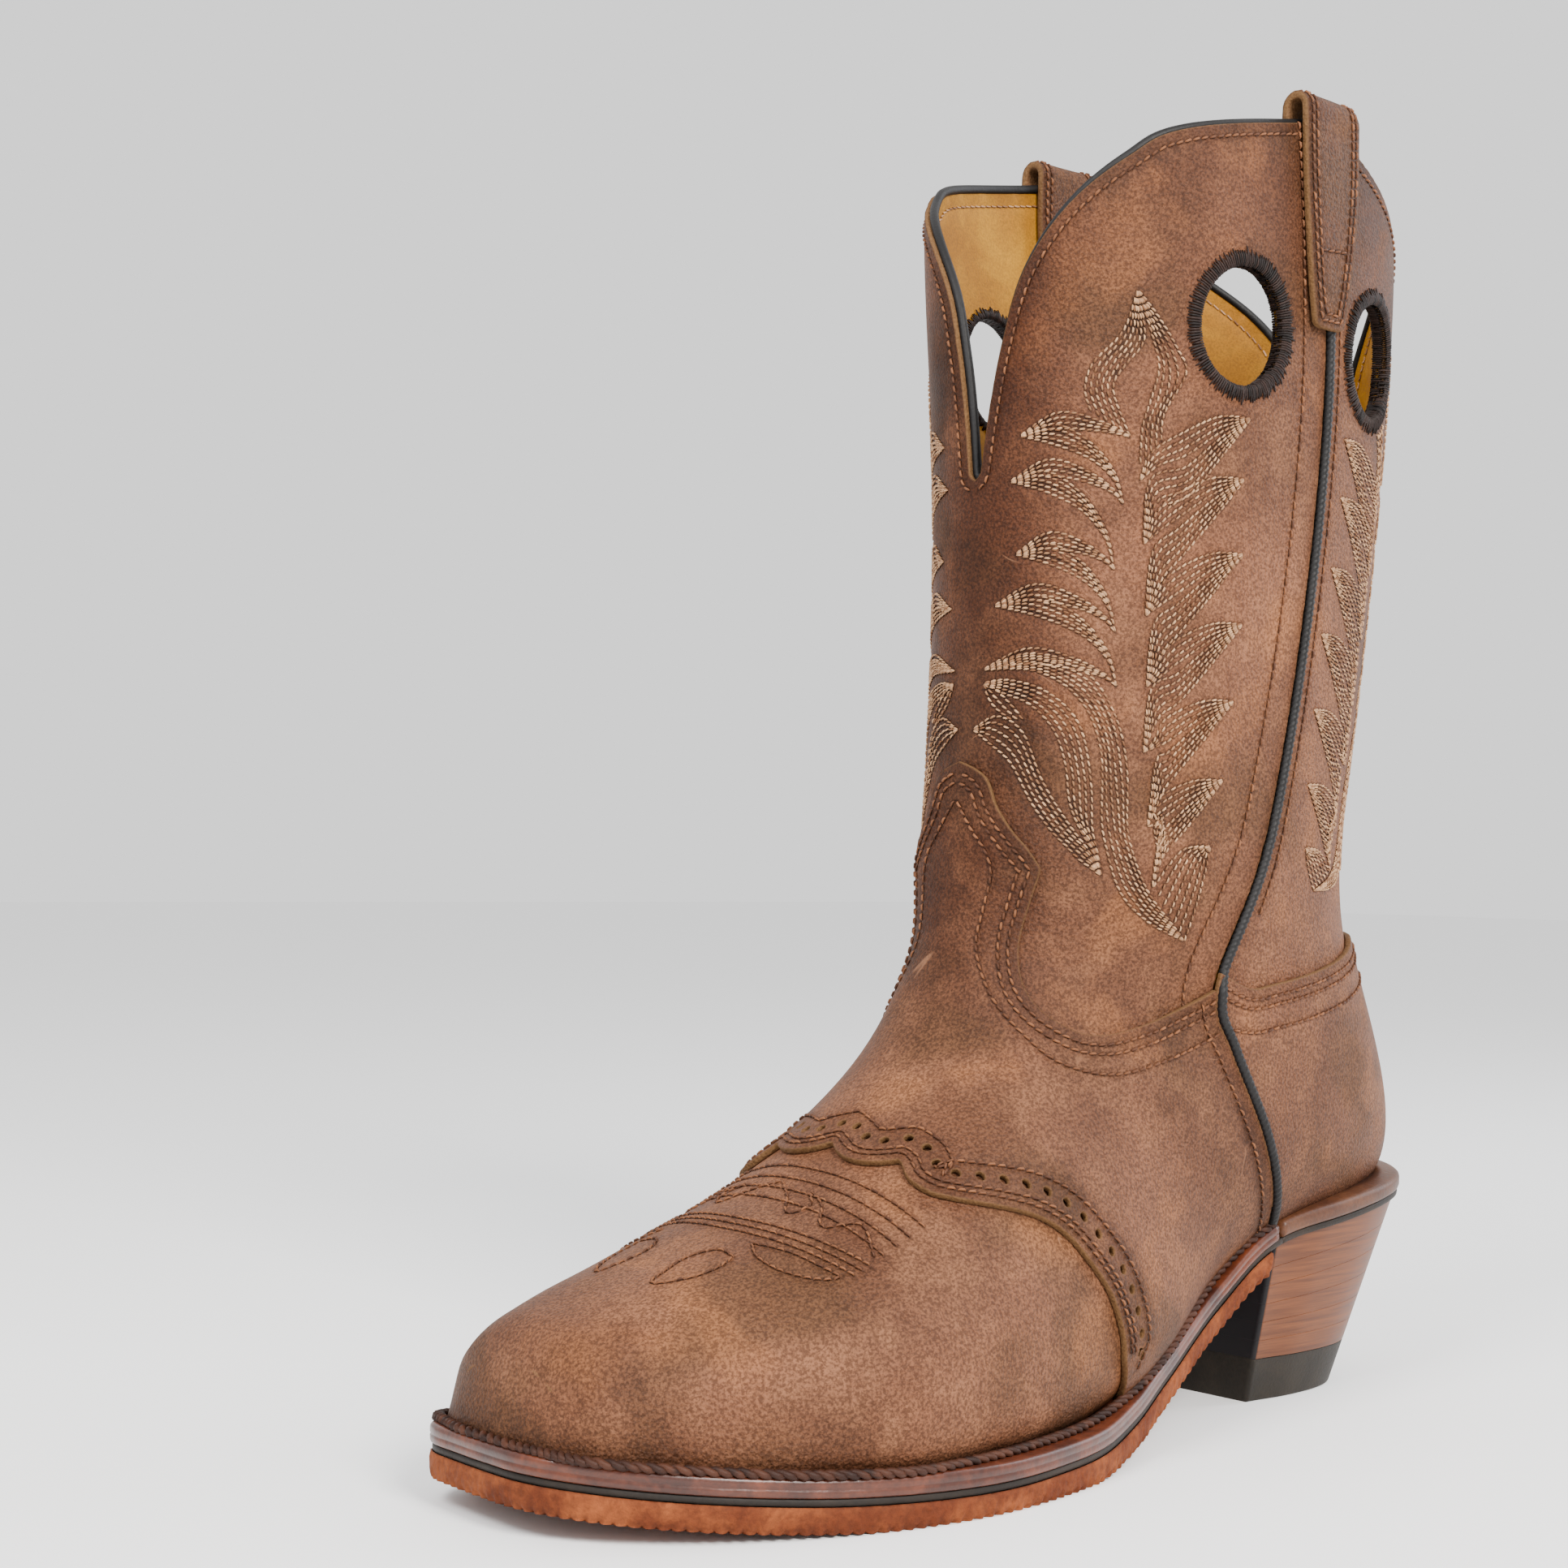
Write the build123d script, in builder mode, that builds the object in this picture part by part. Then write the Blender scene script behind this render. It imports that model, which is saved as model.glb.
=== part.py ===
"""Left western boot, built the way it is sewn, lasted and soled. Millimetres, toe to +X, lateral side to +Y, +Z up.

The origin is on the ground under the middle of the boot's box. Every leather follows one last-shaped surface,
called the skin: offset 0 is the outside of the shaft panels and the vamp, linings lie inside it, overlays outside.
"""
import math
import os
from functools import lru_cache

from build123d import *

os.makedirs("parts", exist_ok=True)

# ---------------------------------------------------------------- driving dimensions
BALL_LATERAL = 64.0  # sole edge beyond the boot's axis at the ball, outer side
BALL_MEDIAL = 49.0  # the same on the inner side
STRAP_REACH = 51.8  # outside of the pull straps from the axis, the widest place of the inner side
AXIS_Y = (STRAP_REACH - BALL_LATERAL) / 2  # the boot's axis in the frame
REAR_X = -152.0  # heel seat, rearmost
TOE_X = 152.0  # sole, foremost
TOE_SKIN_X = 148.5  # vamp, foremost
TOE_EASE = 0.3  # an offset skin's toe is moved whole, eased out by this station
PIVOT_X = 70.0  # the sections fan about this line in front of the ankle
PIVOT_Z = 150.0
SKIN_TOP = 352.0  # the skin is made past the topline and cut back

LEATHER = 2.0  # panels, vamp and overlays
LINING = 1.2
LINED = LEATHER + LINING
ROOM = 0.2  # play between the insole and the lining
WELT = 4.4
MIDSOLE = 1.8
OUTSOLE = 6.0
INSOLE = 4.4

SEAM_TOP_Z = 342.0  # topline at the side seams
NOTCH_Z = 243.0  # bottom of the V notches
PIPING_PROUD = 1.4
PIPING = 3.0
BEAD = 1.8  # bead along the topline
BEAD_PROUD = 0.4
NOTCH_INSET = 2.5  # the bead is this many times deeper at the bottom of a notch
STRAP_WIDTH = 23.0
STRAP_THICK = 2.2
STRAP_TOP_Z = 347.0
STRAP_OUTER_Z = 286.0
STRAP_INNER_Z = 296.0
STRAP_X = -71.0
STRAP_GAP = 0.6  # clears the bead on both sides
STRAP_HALF_WIDTH = STRAP_REACH - STRAP_GAP - STRAP_THICK  # of the shaft, where the strap folds over it
STRAP_BEND_Z = 342.0
OVERLAY_Z = 114.0  # the overlays' top edges meet the side piping here
HOLE_WIDTH = 28.0
HOLE_HEIGHT = 31.0
HOLE_Z = 283.0
HOLE_FRONT_X = -41.0
HOLE_BACK_X = -99.0
RIM = 5.0  # width of the thread round a pull hole
RIM_THICK = 0.8

HEEL_BREAST_X = -74.0
HEEL_FOOT = 0.69  # the heel's foot against its top, in length and width
HEEL_TOP_Z = 58.0
CAP = 12.0
LIFTS = 5
WELT_END_X = -76.0
NAIL = 2.2
CAP_NAIL = 1.6
SHANK = (105.0, 13.0, 1.4)
SHANK_X = -44.0
STITCH_ROW = (2.3, 4.5, 1.6)  # from, to and height of the row of welt stitching beside the upper

LAP = 9.0  # overlays reach this far over the pieces under them
REACH = 120.0
FAR_X = 260

# front view of the topline, from the bottom of a V notch to the side seam
TOPLINE = [(0, NOTCH_Z), (2.5, 260), (6, 276.5), (12, 294.5), (23.5, 310.5), (36, 323), (44, 331.5),
           (49, SEAM_TOP_Z)]

# side view: front and instep, back and heel, top of the welt
DORSAL = [(4, 352), (6, 325), (7.5, 295), (8.5, 250), (9.5, 200), (11.5, 160), (13.5, 138), (18, 120), (25, 106),
          (36, 93), (50, 81), (68, 69.5), (90, 60), (112, 52.5), (128, 47.5), (138, 43), (144.5, 37.5),
          (147.8, 30), (148.6, 20)]
BACK = [(-138, 352), (-140, 325), (-140.5, 295), (-137.5, 250), (-131.5, 200), (-125.5, 165), (-123.5, 145),
        (-126, 127), (-133, 110), (-140, 95), (-144, 80), (-145, 66), (-143.5, 52), (-138, 41)]
FEATHER = [(-180, 62.5), (-152, 60.5), (-110, 55.5), (-75, 49.5), (-50, 35.8), (-20, 21.6), (10, 13.4), (40, 11.6),
           (70, 11.7), (100, 13), (130, 15.8), (152, 18.5), (180, 21.5)]
UNDER = 12.0  # the skin runs on this far below the welt before it is cut

# station, lateral and medial half widths, widest place from front to back, fullness of the two halves
STATIONS = [
    (0.00, 12, 19, 0.60, 2.6, 2.6),
    (0.02, 16.5, 24, 0.60, 2.6, 2.8),
    (0.05, 20.5, 27.5, 0.60, 2.6, 3.0),
    (0.11, 26, 30, 0.60, 2.5, 3.0),
    (0.24, 34, 33, 0.60, 2.5, 3.0),
    (0.43, 43.5, 37.5, 0.60, 2.4, 3.0),
    (0.62, 52, 42, 0.60, 2.3, 3.0),
    (0.81, 58, 45.5, 0.60, 2.2, 3.0),
    (1.00, 60.5, 47, 0.60, 2.1, 3.0),
    (1.20, 58.5, 45, 0.62, 2.1, 2.8),
    (1.38, 50, 41.5, 0.62, 2.1, 2.5),
    (1.55, 42, 39, 0.56, 2.1, 2.3),
    (1.75, 41, 40, 0.50, 2.1, 2.2),
    (2.00, 44, 43.5, 0.50, 2.1, 2.1),
    (2.25, 45, 45, 0.50, 2.1, 2.1),
    (2.50, 47, 47.5, 0.50, 2.1, 2.1),
    (2.75, 49.5, 49.5, 0.50, 2.6, 2.1),
    (3.00, 48.5, 48.5, 0.50, 3.0, 2.1),
]
CUTS = [0, 0.02, 0.05, 0.11, 0.2, 0.32, 0.45, 0.6, 0.8, 1.0, 1.15, 1.3, 1.42, 1.54, 1.64, 1.74, 1.83, 1.92,
        2.0, 2.1, 2.25, 2.42, 2.6, 2.8, 3.0]

# sole edge from above, about the boot's axis, from the toe round to the breast of the heel
SOLE_LATERAL = [(151.5, 10), (148, 19.5), (139, 31), (120, 45), (90, 58), (58, BALL_LATERAL), (25, 60.5),
                (0, 52.5), (-22, 44), (-50, 36.5), (-78, 35.5)]
SOLE_MEDIAL = [(151.5, -14), (150.5, -23.5), (146.5, -30), (138, -34.5), (120, -40), (100, -44.5), (75, -BALL_MEDIAL),
               (48, -47.5), (22, -43), (-5, -37.5), (-30, -34), (-52, -33), (-78, -34)]
SEAT_LATERAL = [(-100, 37.5), (-122, 36), (-138, 29.5), (-148.5, 16)]
SEAT_MEDIAL = [(-100, -37), (-122, -36), (-138, -29.5), (-148.5, -16)]

# pattern lines in side view
SEAM = [(-69, 352), (-72.5, 310), (-75, 262), (-70, 205), (-58, 152), (-43, 115), (-48, 98), (-60, 76),
        (-74, 50), (-82, 38)]
COUNTER_TOP = [(-160, 138), (-135, 134), (-120, 129), (-100, 122), (-70, 116), (-43, 113), (-20, 109), (10, 102)]
SADDLE_TOP = [(-110, 128), (-60, 121), (-43, 115), (-28, 108), (-15, 105), (0, 104.5), (14, 108), (34, 118), (60, 130)]
WING = [(76, 110), (68, 84), (57, 66), (40, 60), (22, 50), (12, 37), (6, 22), (3, -10)]
TONGUE = [(0, 171), (4, 167.5), (10, 162), (16, 155), (21.5, 145), (19.5, 132), (18.5, 122), (23, 111), (32, 100)]


# ---------------------------------------------------------------- the skin
def smooth(points, steps=12):
    """Catmull-Rom curve through a few points."""
    ends = [tuple(2 * a - b for a, b in zip(points[0], points[1]))]
    tail = [tuple(2 * a - b for a, b in zip(points[-1], points[-2]))]
    knots = ends + list(points) + tail
    curve = []
    for k in range(1, len(knots) - 2):
        p0, p1, p2, p3 = knots[k - 1 : k + 3]
        for step in range(steps):
            t = step / steps
            curve.append(tuple(
                0.5 * (2 * b + (c - a) * t + (2 * a - 5 * b + 4 * c - d) * t**2 + (3 * b - a - 3 * c + d) * t**3)
                for a, b, c, d in zip(p0, p1, p2, p3)
            ))
    curve.append(tuple(points[-1]))
    return curve


def level_at(line, x):
    """Height of a smoothed side-view line at x."""
    for (x0, z0), (x1, z1) in zip(line, line[1:]):
        if min(x0, x1) <= x <= max(x0, x1) and x0 != x1:
            return z0 + (z1 - z0) * (x - x0) / (x1 - x0)
    return line[0][1] if abs(x - line[0][0]) < abs(x - line[-1][0]) else line[-1][1]


FEATHER_LINE = smooth(FEATHER)
FRONT_LINE = smooth(DORSAL)
REAR_LINE = smooth(BACK) + [(x, level_at(FEATHER_LINE, x) - UNDER) for x in range(-118, 161, 6)]


def meeting(line, origin, direction):
    """Distance from the origin to a side-view line, along a unit direction."""
    reach = []
    for (x0, z0), (x1, z1) in zip(line, line[1:]):
        side0 = (z0 - origin[1]) * direction[0] - (x0 - origin[0]) * direction[1]
        side1 = (z1 - origin[1]) * direction[0] - (x1 - origin[0]) * direction[1]
        if side0 * side1 <= 0 and side0 != side1:
            t = side0 / (side0 - side1)
            x = x0 + (x1 - x0) * t
            z = z0 + (z1 - z0) * t
            distance = (x - origin[0]) * direction[0] + (z - origin[1]) * direction[1]
            if distance > 0:
                reach.append(distance)
    return min(reach)


def station_line(s):
    """Origin and direction of a section: upright in the forefoot, fanned at the ankle, level in the shaft."""
    if s <= 1:
        return (TOE_SKIN_X + (PIVOT_X - TOE_SKIN_X) * s, PIVOT_Z), (0, -1)
    if s <= 2:
        angle = math.radians(90 * (2 - s))
        return (PIVOT_X, PIVOT_Z), (-math.cos(angle), -math.sin(angle))
    return (PIVOT_X, PIVOT_Z + (SKIN_TOP - PIVOT_Z) * (s - 2)), (-1, 0)


def station_shape(s):
    """Half widths, widest place and fullness, between the stations."""
    for low, high in zip(STATIONS, STATIONS[1:]):
        if low[0] <= s <= high[0]:
            t = (s - low[0]) / (high[0] - low[0])
            return [a + (b - a) * t for a, b in zip(low[1:], high[1:])]
    return STATIONS[-1][1:]


@lru_cache(None)
def section(s):
    origin, direction = station_line(s)
    front = meeting(FRONT_LINE, origin, direction)
    rear = meeting(REAR_LINE, origin, direction)
    return origin, direction, front, rear, station_shape(s)


def section_point(s, turn, offset):
    """Point of a section in its own plane: distance from the pivot side, and width. Turn is 0 in front."""
    origin, direction, front, rear, (lateral, medial, widest, full_front, full_back) = section(s)
    middle = front + (rear - front) * widest
    half = (lateral if turn >= 0 else medial) + offset
    fullness = full_front if abs(turn) <= math.pi / 2 else full_back
    across = abs(math.sin(turn))
    along = abs(math.cos(turn))
    size = (across**fullness + along**fullness) ** (-1 / fullness)
    depth = middle - front + offset if abs(turn) <= math.pi / 2 else rear - middle + offset
    r = middle - math.copysign(1, math.cos(turn)) * depth * along * size
    return r, math.copysign(half * across * size, turn)


@lru_cache(None)
def skin(offset):
    """Closed body inside the skin at an offset."""
    with BuildPart() as body:
        for s in CUTS:
            origin, direction, *_ = section(s)
            shift = offset * max(0.0, 1 - s / TOE_EASE)
            across = (direction[0], 0, direction[1])
            normal = (-direction[1], 0, direction[0])
            place = Plane(origin=(origin[0] + shift, AXIS_Y, origin[1]), x_dir=across, z_dir=normal)
            with BuildSketch(place):
                with BuildLine():
                    fractions = [k / 14 for k in range(15)]
                    turns = [math.pi * fraction for fraction in fractions]
                    for side in (1, -1):
                        arc = [section_point(s, side * turn, offset) for turn in turns]
                        add(Edge.make_spline([Vector(r, w) for r, w in arc[::side]], parameters=fractions))
                make_face()
        loft()
    return body.part


# ---------------------------------------------------------------- cutters
def side_prism(*edges):
    """Prism along Y of a closed side-view outline: an edge of two points is straight, a longer one is a spline."""
    with BuildPart() as prism:
        with BuildSketch(Plane.XZ):
            with BuildLine():
                for edge in edges:
                    if len(edge) == 2:
                        Line(*edge)
                    else:
                        Spline(*edge)
            make_face()
        extrude(amount=REACH, both=True)
    return prism.part


def shifted(points, dx=0.0, dz=0.0):
    return [(x + dx, z + dz) for x, z in points]


def closed_with(curve, *corners):
    """The curve and the straight edges that close it through the corners."""
    ring = [curve[-1], *corners, curve[0]]
    return [curve] + [[a, b] for a, b in zip(ring, ring[1:])]


@lru_cache(None)
def layer(top, bottom):
    """Everything between two heights measured down from the top of the welt."""
    upper = shifted(FEATHER, dz=-top)
    lower = shifted(FEATHER, dz=-bottom)
    return side_prism(upper, [upper[-1], lower[-1]], lower, [lower[0], upper[0]])


@lru_cache(None)
def above_welt(rise=0.0):
    line = shifted(FEATHER, dz=rise)
    return side_prism(*closed_with(line, (line[-1][0], 400), (line[0][0], 400)))


@lru_cache(None)
def ahead_of_seam(gap):
    line = shifted(SEAM, dx=gap)
    return side_prism(*closed_with(line, (line[-1][0], -60), (260, -60), (260, 400), (line[0][0], 400)))


@lru_cache(None)
def behind_seam(gap):
    line = shifted(SEAM, dx=-gap)
    return side_prism(*closed_with(line, (line[-1][0], -60), (-260, -60), (-260, 400), (line[0][0], 400)))


def inset_topline(inset):
    """The topline moved square to itself, down and away from the opening."""
    first, last = TOPLINE[0], TOPLINE[-1]
    moved = [(first[0], first[1] - NOTCH_INSET * inset)]
    for before, here, after in zip(TOPLINE, TOPLINE[1:], TOPLINE[2:]):
        run = after[0] - before[0]
        rise = after[1] - before[1]
        length = math.hypot(run, rise)
        moved.append((here[0] + inset * rise / length, here[1] - inset * run / length))
    return moved + [(last[0], last[1] - inset)]


@lru_cache(None)
def under_topline(inset):
    """Everything below the topline, which dips in a V in front and behind, less an inset along that edge."""
    right = inset_topline(inset)
    left = [(-y, z) for y, z in reversed(right)]
    with BuildPart() as prism:
        with BuildSketch(Plane.YZ.move(Location((0, AXIS_Y, 0)))):
            with BuildLine():
                Spline(*left)
                Spline(*right)
                far = [(REACH, right[-1][1]), (REACH, -60), (-REACH, -60), (-REACH, left[0][1])]
                Polyline(right[-1], *far, left[0])
            make_face()
        extrude(amount=260, both=True)
    return prism.part


def half_space(side):
    """Everything on one side of the boot's axis: 1 is lateral, -1 is medial."""
    return Pos(0, AXIS_Y + side * 150, 150) * Box(500, 300, 600)


def slab(x_low, x_high):
    return Pos((x_low + x_high) / 2, 0, 150) * Box(x_high - x_low, 400, 700)


def level_slab(z_low, z_high):
    return Pos(0, 0, (z_low + z_high) / 2) * Box(600, 400, z_high - z_low)


@lru_cache(None)
def hole_prism(x, grow):
    with BuildPart() as prism:
        with BuildSketch(Plane.XZ):
            with Locations((x, HOLE_Z)):
                Ellipse(HOLE_WIDTH / 2 + grow, HOLE_HEIGHT / 2 + grow)
        extrude(amount=REACH, both=True)
    return prism.part


@lru_cache(None)
def sole_prism():
    """Everything inside the sole's edge as seen from above."""
    outline = [(TOE_X, 0)] + SOLE_LATERAL + SEAT_LATERAL + [(REAR_X, 0)]
    outline += list(reversed(SEAT_MEDIAL)) + list(reversed(SOLE_MEDIAL))
    with BuildPart() as prism:
        with BuildSketch(Plane.XY.move(Location((0, AXIS_Y, -20)))):
            with BuildLine():
                Spline(*outline, periodic=True)
            make_face()
        extrude(amount=120)
    return prism.part


def heel_outline(scale):
    """Half of the heel's outline from its breast to the middle of its back, about the boot's axis."""
    seat = [SOLE_LATERAL[-1], *SEAT_LATERAL, (REAR_X, 0)]
    ring = seat + [(x, -y) for x, y in reversed(seat[:-1])]
    return [(HEEL_BREAST_X + (x - HEEL_BREAST_X) * scale, y * scale) for x, y in ring]


@lru_cache(None)
def heel_block():
    """The underslung heel, wide at the seat and narrow on the ground, with a straight breast."""
    with BuildPart() as block:
        for z, scale in ((0, HEEL_FOOT), (HEEL_TOP_Z, 1.0)):
            ring = heel_outline(scale)
            with BuildSketch(Plane.XY.move(Location((0, AXIS_Y, z)))):
                with BuildLine():
                    Spline(*ring)
                    Polyline(ring[-1], (HEEL_BREAST_X, ring[-1][1]), (HEEL_BREAST_X, ring[0][1]), ring[0])
                make_face()
        loft(ruled=True)
    return block.part


LAP_FRONT = shifted(SADDLE_TOP, dz=-LAP)
LAP_BACK = shifted(COUNTER_TOP, dz=-LAP)


def closed_far(line, far_z):
    """A side-view line that runs towards the toe, closed far away above or below."""
    start, end = line[0], line[-1]
    return closed_with(line, (FAR_X, end[1]), (FAR_X, far_z), (-FAR_X, far_z), (-FAR_X, start[1]))


@lru_cache(None)
def over(line):
    return side_prism(*closed_far(list(line), 400))


@lru_cache(None)
def beneath(line):
    return side_prism(*closed_far(list(line), -60))


@lru_cache(None)
def ahead_of_wing():
    return side_prism(*closed_with(WING, (WING[-1][0], -60), (260, -60), (260, WING[0][1])))


@lru_cache(None)
def tongue_prism():
    """The tongue of the saddle, as seen from in front."""
    right = [(-y, z) for y, z in reversed(TONGUE[1:])]
    tip = TONGUE[0]
    with BuildPart() as prism:
        with BuildSketch(Plane.YZ.move(Location((-4, AXIS_Y, 0)))):
            with BuildLine():
                Spline(*right, tip)
                Spline(*TONGUE)
                Line(TONGUE[-1], right[0])
            make_face()
        extrude(amount=100)
    return prism.part


def leather(outer, inner, kept, removed=()):
    """A piece cut from the skin between two offsets, inside every kept region and clear of every removed one."""
    body = skin(outer)
    core = skin(inner)
    with BuildPart() as piece:
        add(body)
        for region in kept:
            add(region, mode=Mode.INTERSECT)
        for region in removed:
            add(region, mode=Mode.SUBTRACT)
        add(core, mode=Mode.SUBTRACT)
    return piece.part


def save(part, label):
    part.label = label
    export_step(part, f"parts/{label}.step")


PULL_HOLES = {"front": HOLE_FRONT_X, "back": HOLE_BACK_X}
SIDES = {"left": 1, "right": -1}
AHEAD = ahead_of_seam(PIPING / 2)
BEHIND = behind_seam(PIPING / 2)
AHEAD_LINING = ahead_of_seam(0.0)
BEHIND_LINING = behind_seam(0.0)
ON_WELT = above_welt()


# ---------------------------------------------------------------- shaft
leather_edge = under_topline(BEAD)
pull_holes = [hole_prism(x, 0.0) for x in PULL_HOLES.values()]
above_saddle_lap = over(tuple(LAP_FRONT))
above_counter_lap = over(tuple(LAP_BACK))
below_saddle_lap = beneath(tuple(LAP_FRONT))
below_counter_lap = beneath(tuple(LAP_BACK))

save(leather(0.0, -LEATHER, [leather_edge, AHEAD, above_saddle_lap], pull_holes), "front_shaft_panel")
save(leather(0.0, -LEATHER, [leather_edge, BEHIND, above_counter_lap], pull_holes), "back_shaft_panel")
save(leather(-LEATHER, -LINED, [leather_edge, AHEAD_LINING, above_saddle_lap], pull_holes), "front_shaft_lining")
save(leather(-LEATHER, -LINED, [leather_edge, BEHIND_LINING, above_counter_lap], pull_holes), "back_shaft_lining")

topline = under_topline(0.0)
bead = leather(BEAD_PROUD, -LINED - BEAD_PROUD, [topline], [leather_edge])
save(bead & AHEAD_LINING, "topline_piping_front")
save(bead & BEHIND_LINING, "topline_piping_back")

# ---------------------------------------------------------------- foot
foot_front = [ON_WELT, AHEAD, below_saddle_lap]
save(leather(0.0, -LEATHER, foot_front), "vamp")
foot_lining = [ON_WELT, AHEAD_LINING, below_saddle_lap]
save(leather(-LEATHER, -LINED, foot_lining), "vamp_lining")
save(leather(0.0, -LEATHER, [ON_WELT, BEHIND, below_counter_lap]), "counter_stiffener")
save(leather(-LEATHER, -LINED, [ON_WELT, BEHIND_LINING, below_counter_lap]), "counter_lining")

below_counter_top = beneath(tuple(COUNTER_TOP))
save(leather(LEATHER, 0.0, [ON_WELT, BEHIND, below_counter_top]), "heel_counter")

below_saddle_top = beneath(tuple(SADDLE_TOP))
saddle_sides = leather(LEATHER, 0.0, [ON_WELT, AHEAD, below_saddle_top], [ahead_of_wing()])
saddle_tongue = leather(LEATHER, 0.0, [tongue_prism()])
save(saddle_sides + saddle_tongue, "saddle_vamp")


# ---------------------------------------------------------------- piping down the side seams
between_panels = leather(0.0, -LEATHER, [leather_edge, ON_WELT], [AHEAD, BEHIND])
below_strap = level_slab(-20, STRAP_OUTER_Z)
proud = leather(PIPING_PROUD, -LEATHER, [below_strap, ON_WELT], [AHEAD, BEHIND])
below_overlays = level_slab(-20, OVERLAY_Z)
proud_of_overlays = leather(LEATHER + PIPING_PROUD, -LEATHER, [below_overlays, ON_WELT], [AHEAD, BEHIND])
side_piping = between_panels + proud + proud_of_overlays
for side, sign in SIDES.items():
    save(side_piping & half_space(sign), f"side_piping_{side}")

# ---------------------------------------------------------------- thread round the pull holes
for place, x in PULL_HOLES.items():
    inside_rim = leather(RIM_THICK, -LINED - RIM_THICK, [hole_prism(x, RIM)], [hole_prism(x, -RIM_THICK)])
    leathers = leather(0.0, -LINED, [hole_prism(x, 2 * RIM)], [hole_prism(x, 0.0)])
    rims = inside_rim - leathers
    for side, sign in SIDES.items():
        save(rims & half_space(sign), f"pull_hole_binding_{place}_{side}")


# ---------------------------------------------------------------- pull straps
def strap_outline(tip_z):
    """Side view of one leg: parallel edges that taper to a blunt point."""
    half = STRAP_WIDTH / 2
    edge = [(-half, STRAP_BEND_Z + 1), (-half, tip_z + 30), (-half + 3, tip_z + 12), (-5.5, tip_z)]
    ring = edge + [(-x, z) for x, z in reversed(edge)]
    ring = [(STRAP_X + x, z) for x, z in ring]
    return side_prism(*[[a, b] for a, b in zip(ring, ring[1:] + ring[:1])])


outer_leg = leather(STRAP_GAP + STRAP_THICK, STRAP_GAP, [strap_outline(STRAP_OUTER_Z)])
inner_leg = leather(-LINED - STRAP_GAP, -LINED - STRAP_GAP - STRAP_THICK, [strap_outline(STRAP_INNER_Z)])
for side, sign in SIDES.items():
    outer_y = AXIS_Y + sign * (STRAP_HALF_WIDTH + STRAP_GAP + STRAP_THICK)
    inner_y = AXIS_Y + sign * (STRAP_HALF_WIDTH - LINED - STRAP_GAP - STRAP_THICK)
    middle_y = (outer_y + inner_y) / 2
    bend = abs(outer_y - inner_y) / 2
    legs = (outer_leg + inner_leg) & half_space(sign)
    with BuildPart() as strap:
        with BuildSketch(Plane.YZ.offset(STRAP_X - STRAP_WIDTH / 2)):
            with Locations((middle_y, STRAP_TOP_Z - bend)):
                Circle(bend)
                Circle(bend - STRAP_THICK, mode=Mode.SUBTRACT)
            with Locations((middle_y, STRAP_TOP_Z - 2 * bend)):
                Rectangle(4 * bend, 2 * bend, mode=Mode.SUBTRACT)
        extrude(amount=STRAP_WIDTH)
        add(legs)
    save(strap.part, f"pull_strap_{side}")


# ---------------------------------------------------------------- inside the foot
def bottom_piece(body, top, bottom, kept=(), removed=()):
    """A slice of a body between two depths below the top of the welt."""
    slice_of_it = layer(top, bottom)
    with BuildPart() as piece:
        add(body)
        add(slice_of_it, mode=Mode.INTERSECT)
        for region in kept:
            add(region, mode=Mode.INTERSECT)
        for region in removed:
            add(region, mode=Mode.SUBTRACT)
    return piece.part


inside_lining = skin(-LINED - ROOM)
save(bottom_piece(inside_lining, -INSOLE, 0.0), "insole")

under_lining = skin(-LINED)
shank_length, shank_width, shank_thick = SHANK
shank_block = Pos(SHANK_X, AXIS_Y, 40) * Box(shank_length, shank_width, 160)
shank_depth = (WELT - shank_thick) / 2
shank = bottom_piece(shank_block, shank_depth, shank_depth + shank_thick)
save(bottom_piece(under_lining, 0.0, WELT, removed=[shank]), "cork_filler")
save(shank, "shank")

# ---------------------------------------------------------------- welt, rand and soles
sole_edge = sole_prism()
tapered = slab(HEEL_BREAST_X, 200) + heel_block()
above_ground = level_slab(0, 100)
save(bottom_piece(sole_edge, 0.0, WELT, [slab(WELT_END_X, 200)], [under_lining]), "welt")
save(bottom_piece(sole_edge, 0.0, WELT, [slab(-200, WELT_END_X)], [under_lining]), "heel_rand")

near, far, height = STITCH_ROW
stitch_row = bottom_piece(skin(far), -height, 0.0, [slab(WELT_END_X + 2, 200)], [skin(near)])
save(stitch_row, "welt_stitching")

save(bottom_piece(sole_edge, WELT, WELT + MIDSOLE, [tapered]), "midsole")

# ---------------------------------------------------------------- heel
outsole_top = WELT + MIDSOLE
heel_top = outsole_top + OUTSOLE
nail_places = [(-84, 15), (-84, -15), (-104, 17), (-104, -17), (-118, 0)]
with BuildPart() as nails:
    for x, y in nail_places:
        top = level_at(FEATHER_LINE, x) - outsole_top - 1
        with BuildSketch(Plane.XY.move(Location((x, AXIS_Y + y, CAP + 4)))):
            Circle(NAIL / 2)
        extrude(amount=top - CAP - 4)
save(nails.part, "heel_nails")

cap_nail_places = [(-80, 10), (-80, -10), (-108, 11), (-108, -11)]
with BuildPart() as cap_nails:
    for x, y in cap_nail_places:
        with BuildSketch(Plane.XY.move(Location((x, AXIS_Y + y, 1)))):
            Circle(CAP_NAIL / 2)
        extrude(amount=CAP + 4)
save(cap_nails.part, "cap_nails")

outsole = bottom_piece(sole_edge, outsole_top, heel_top, [tapered, above_ground], [nails.part])
save(outsole, "outsole")

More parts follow.
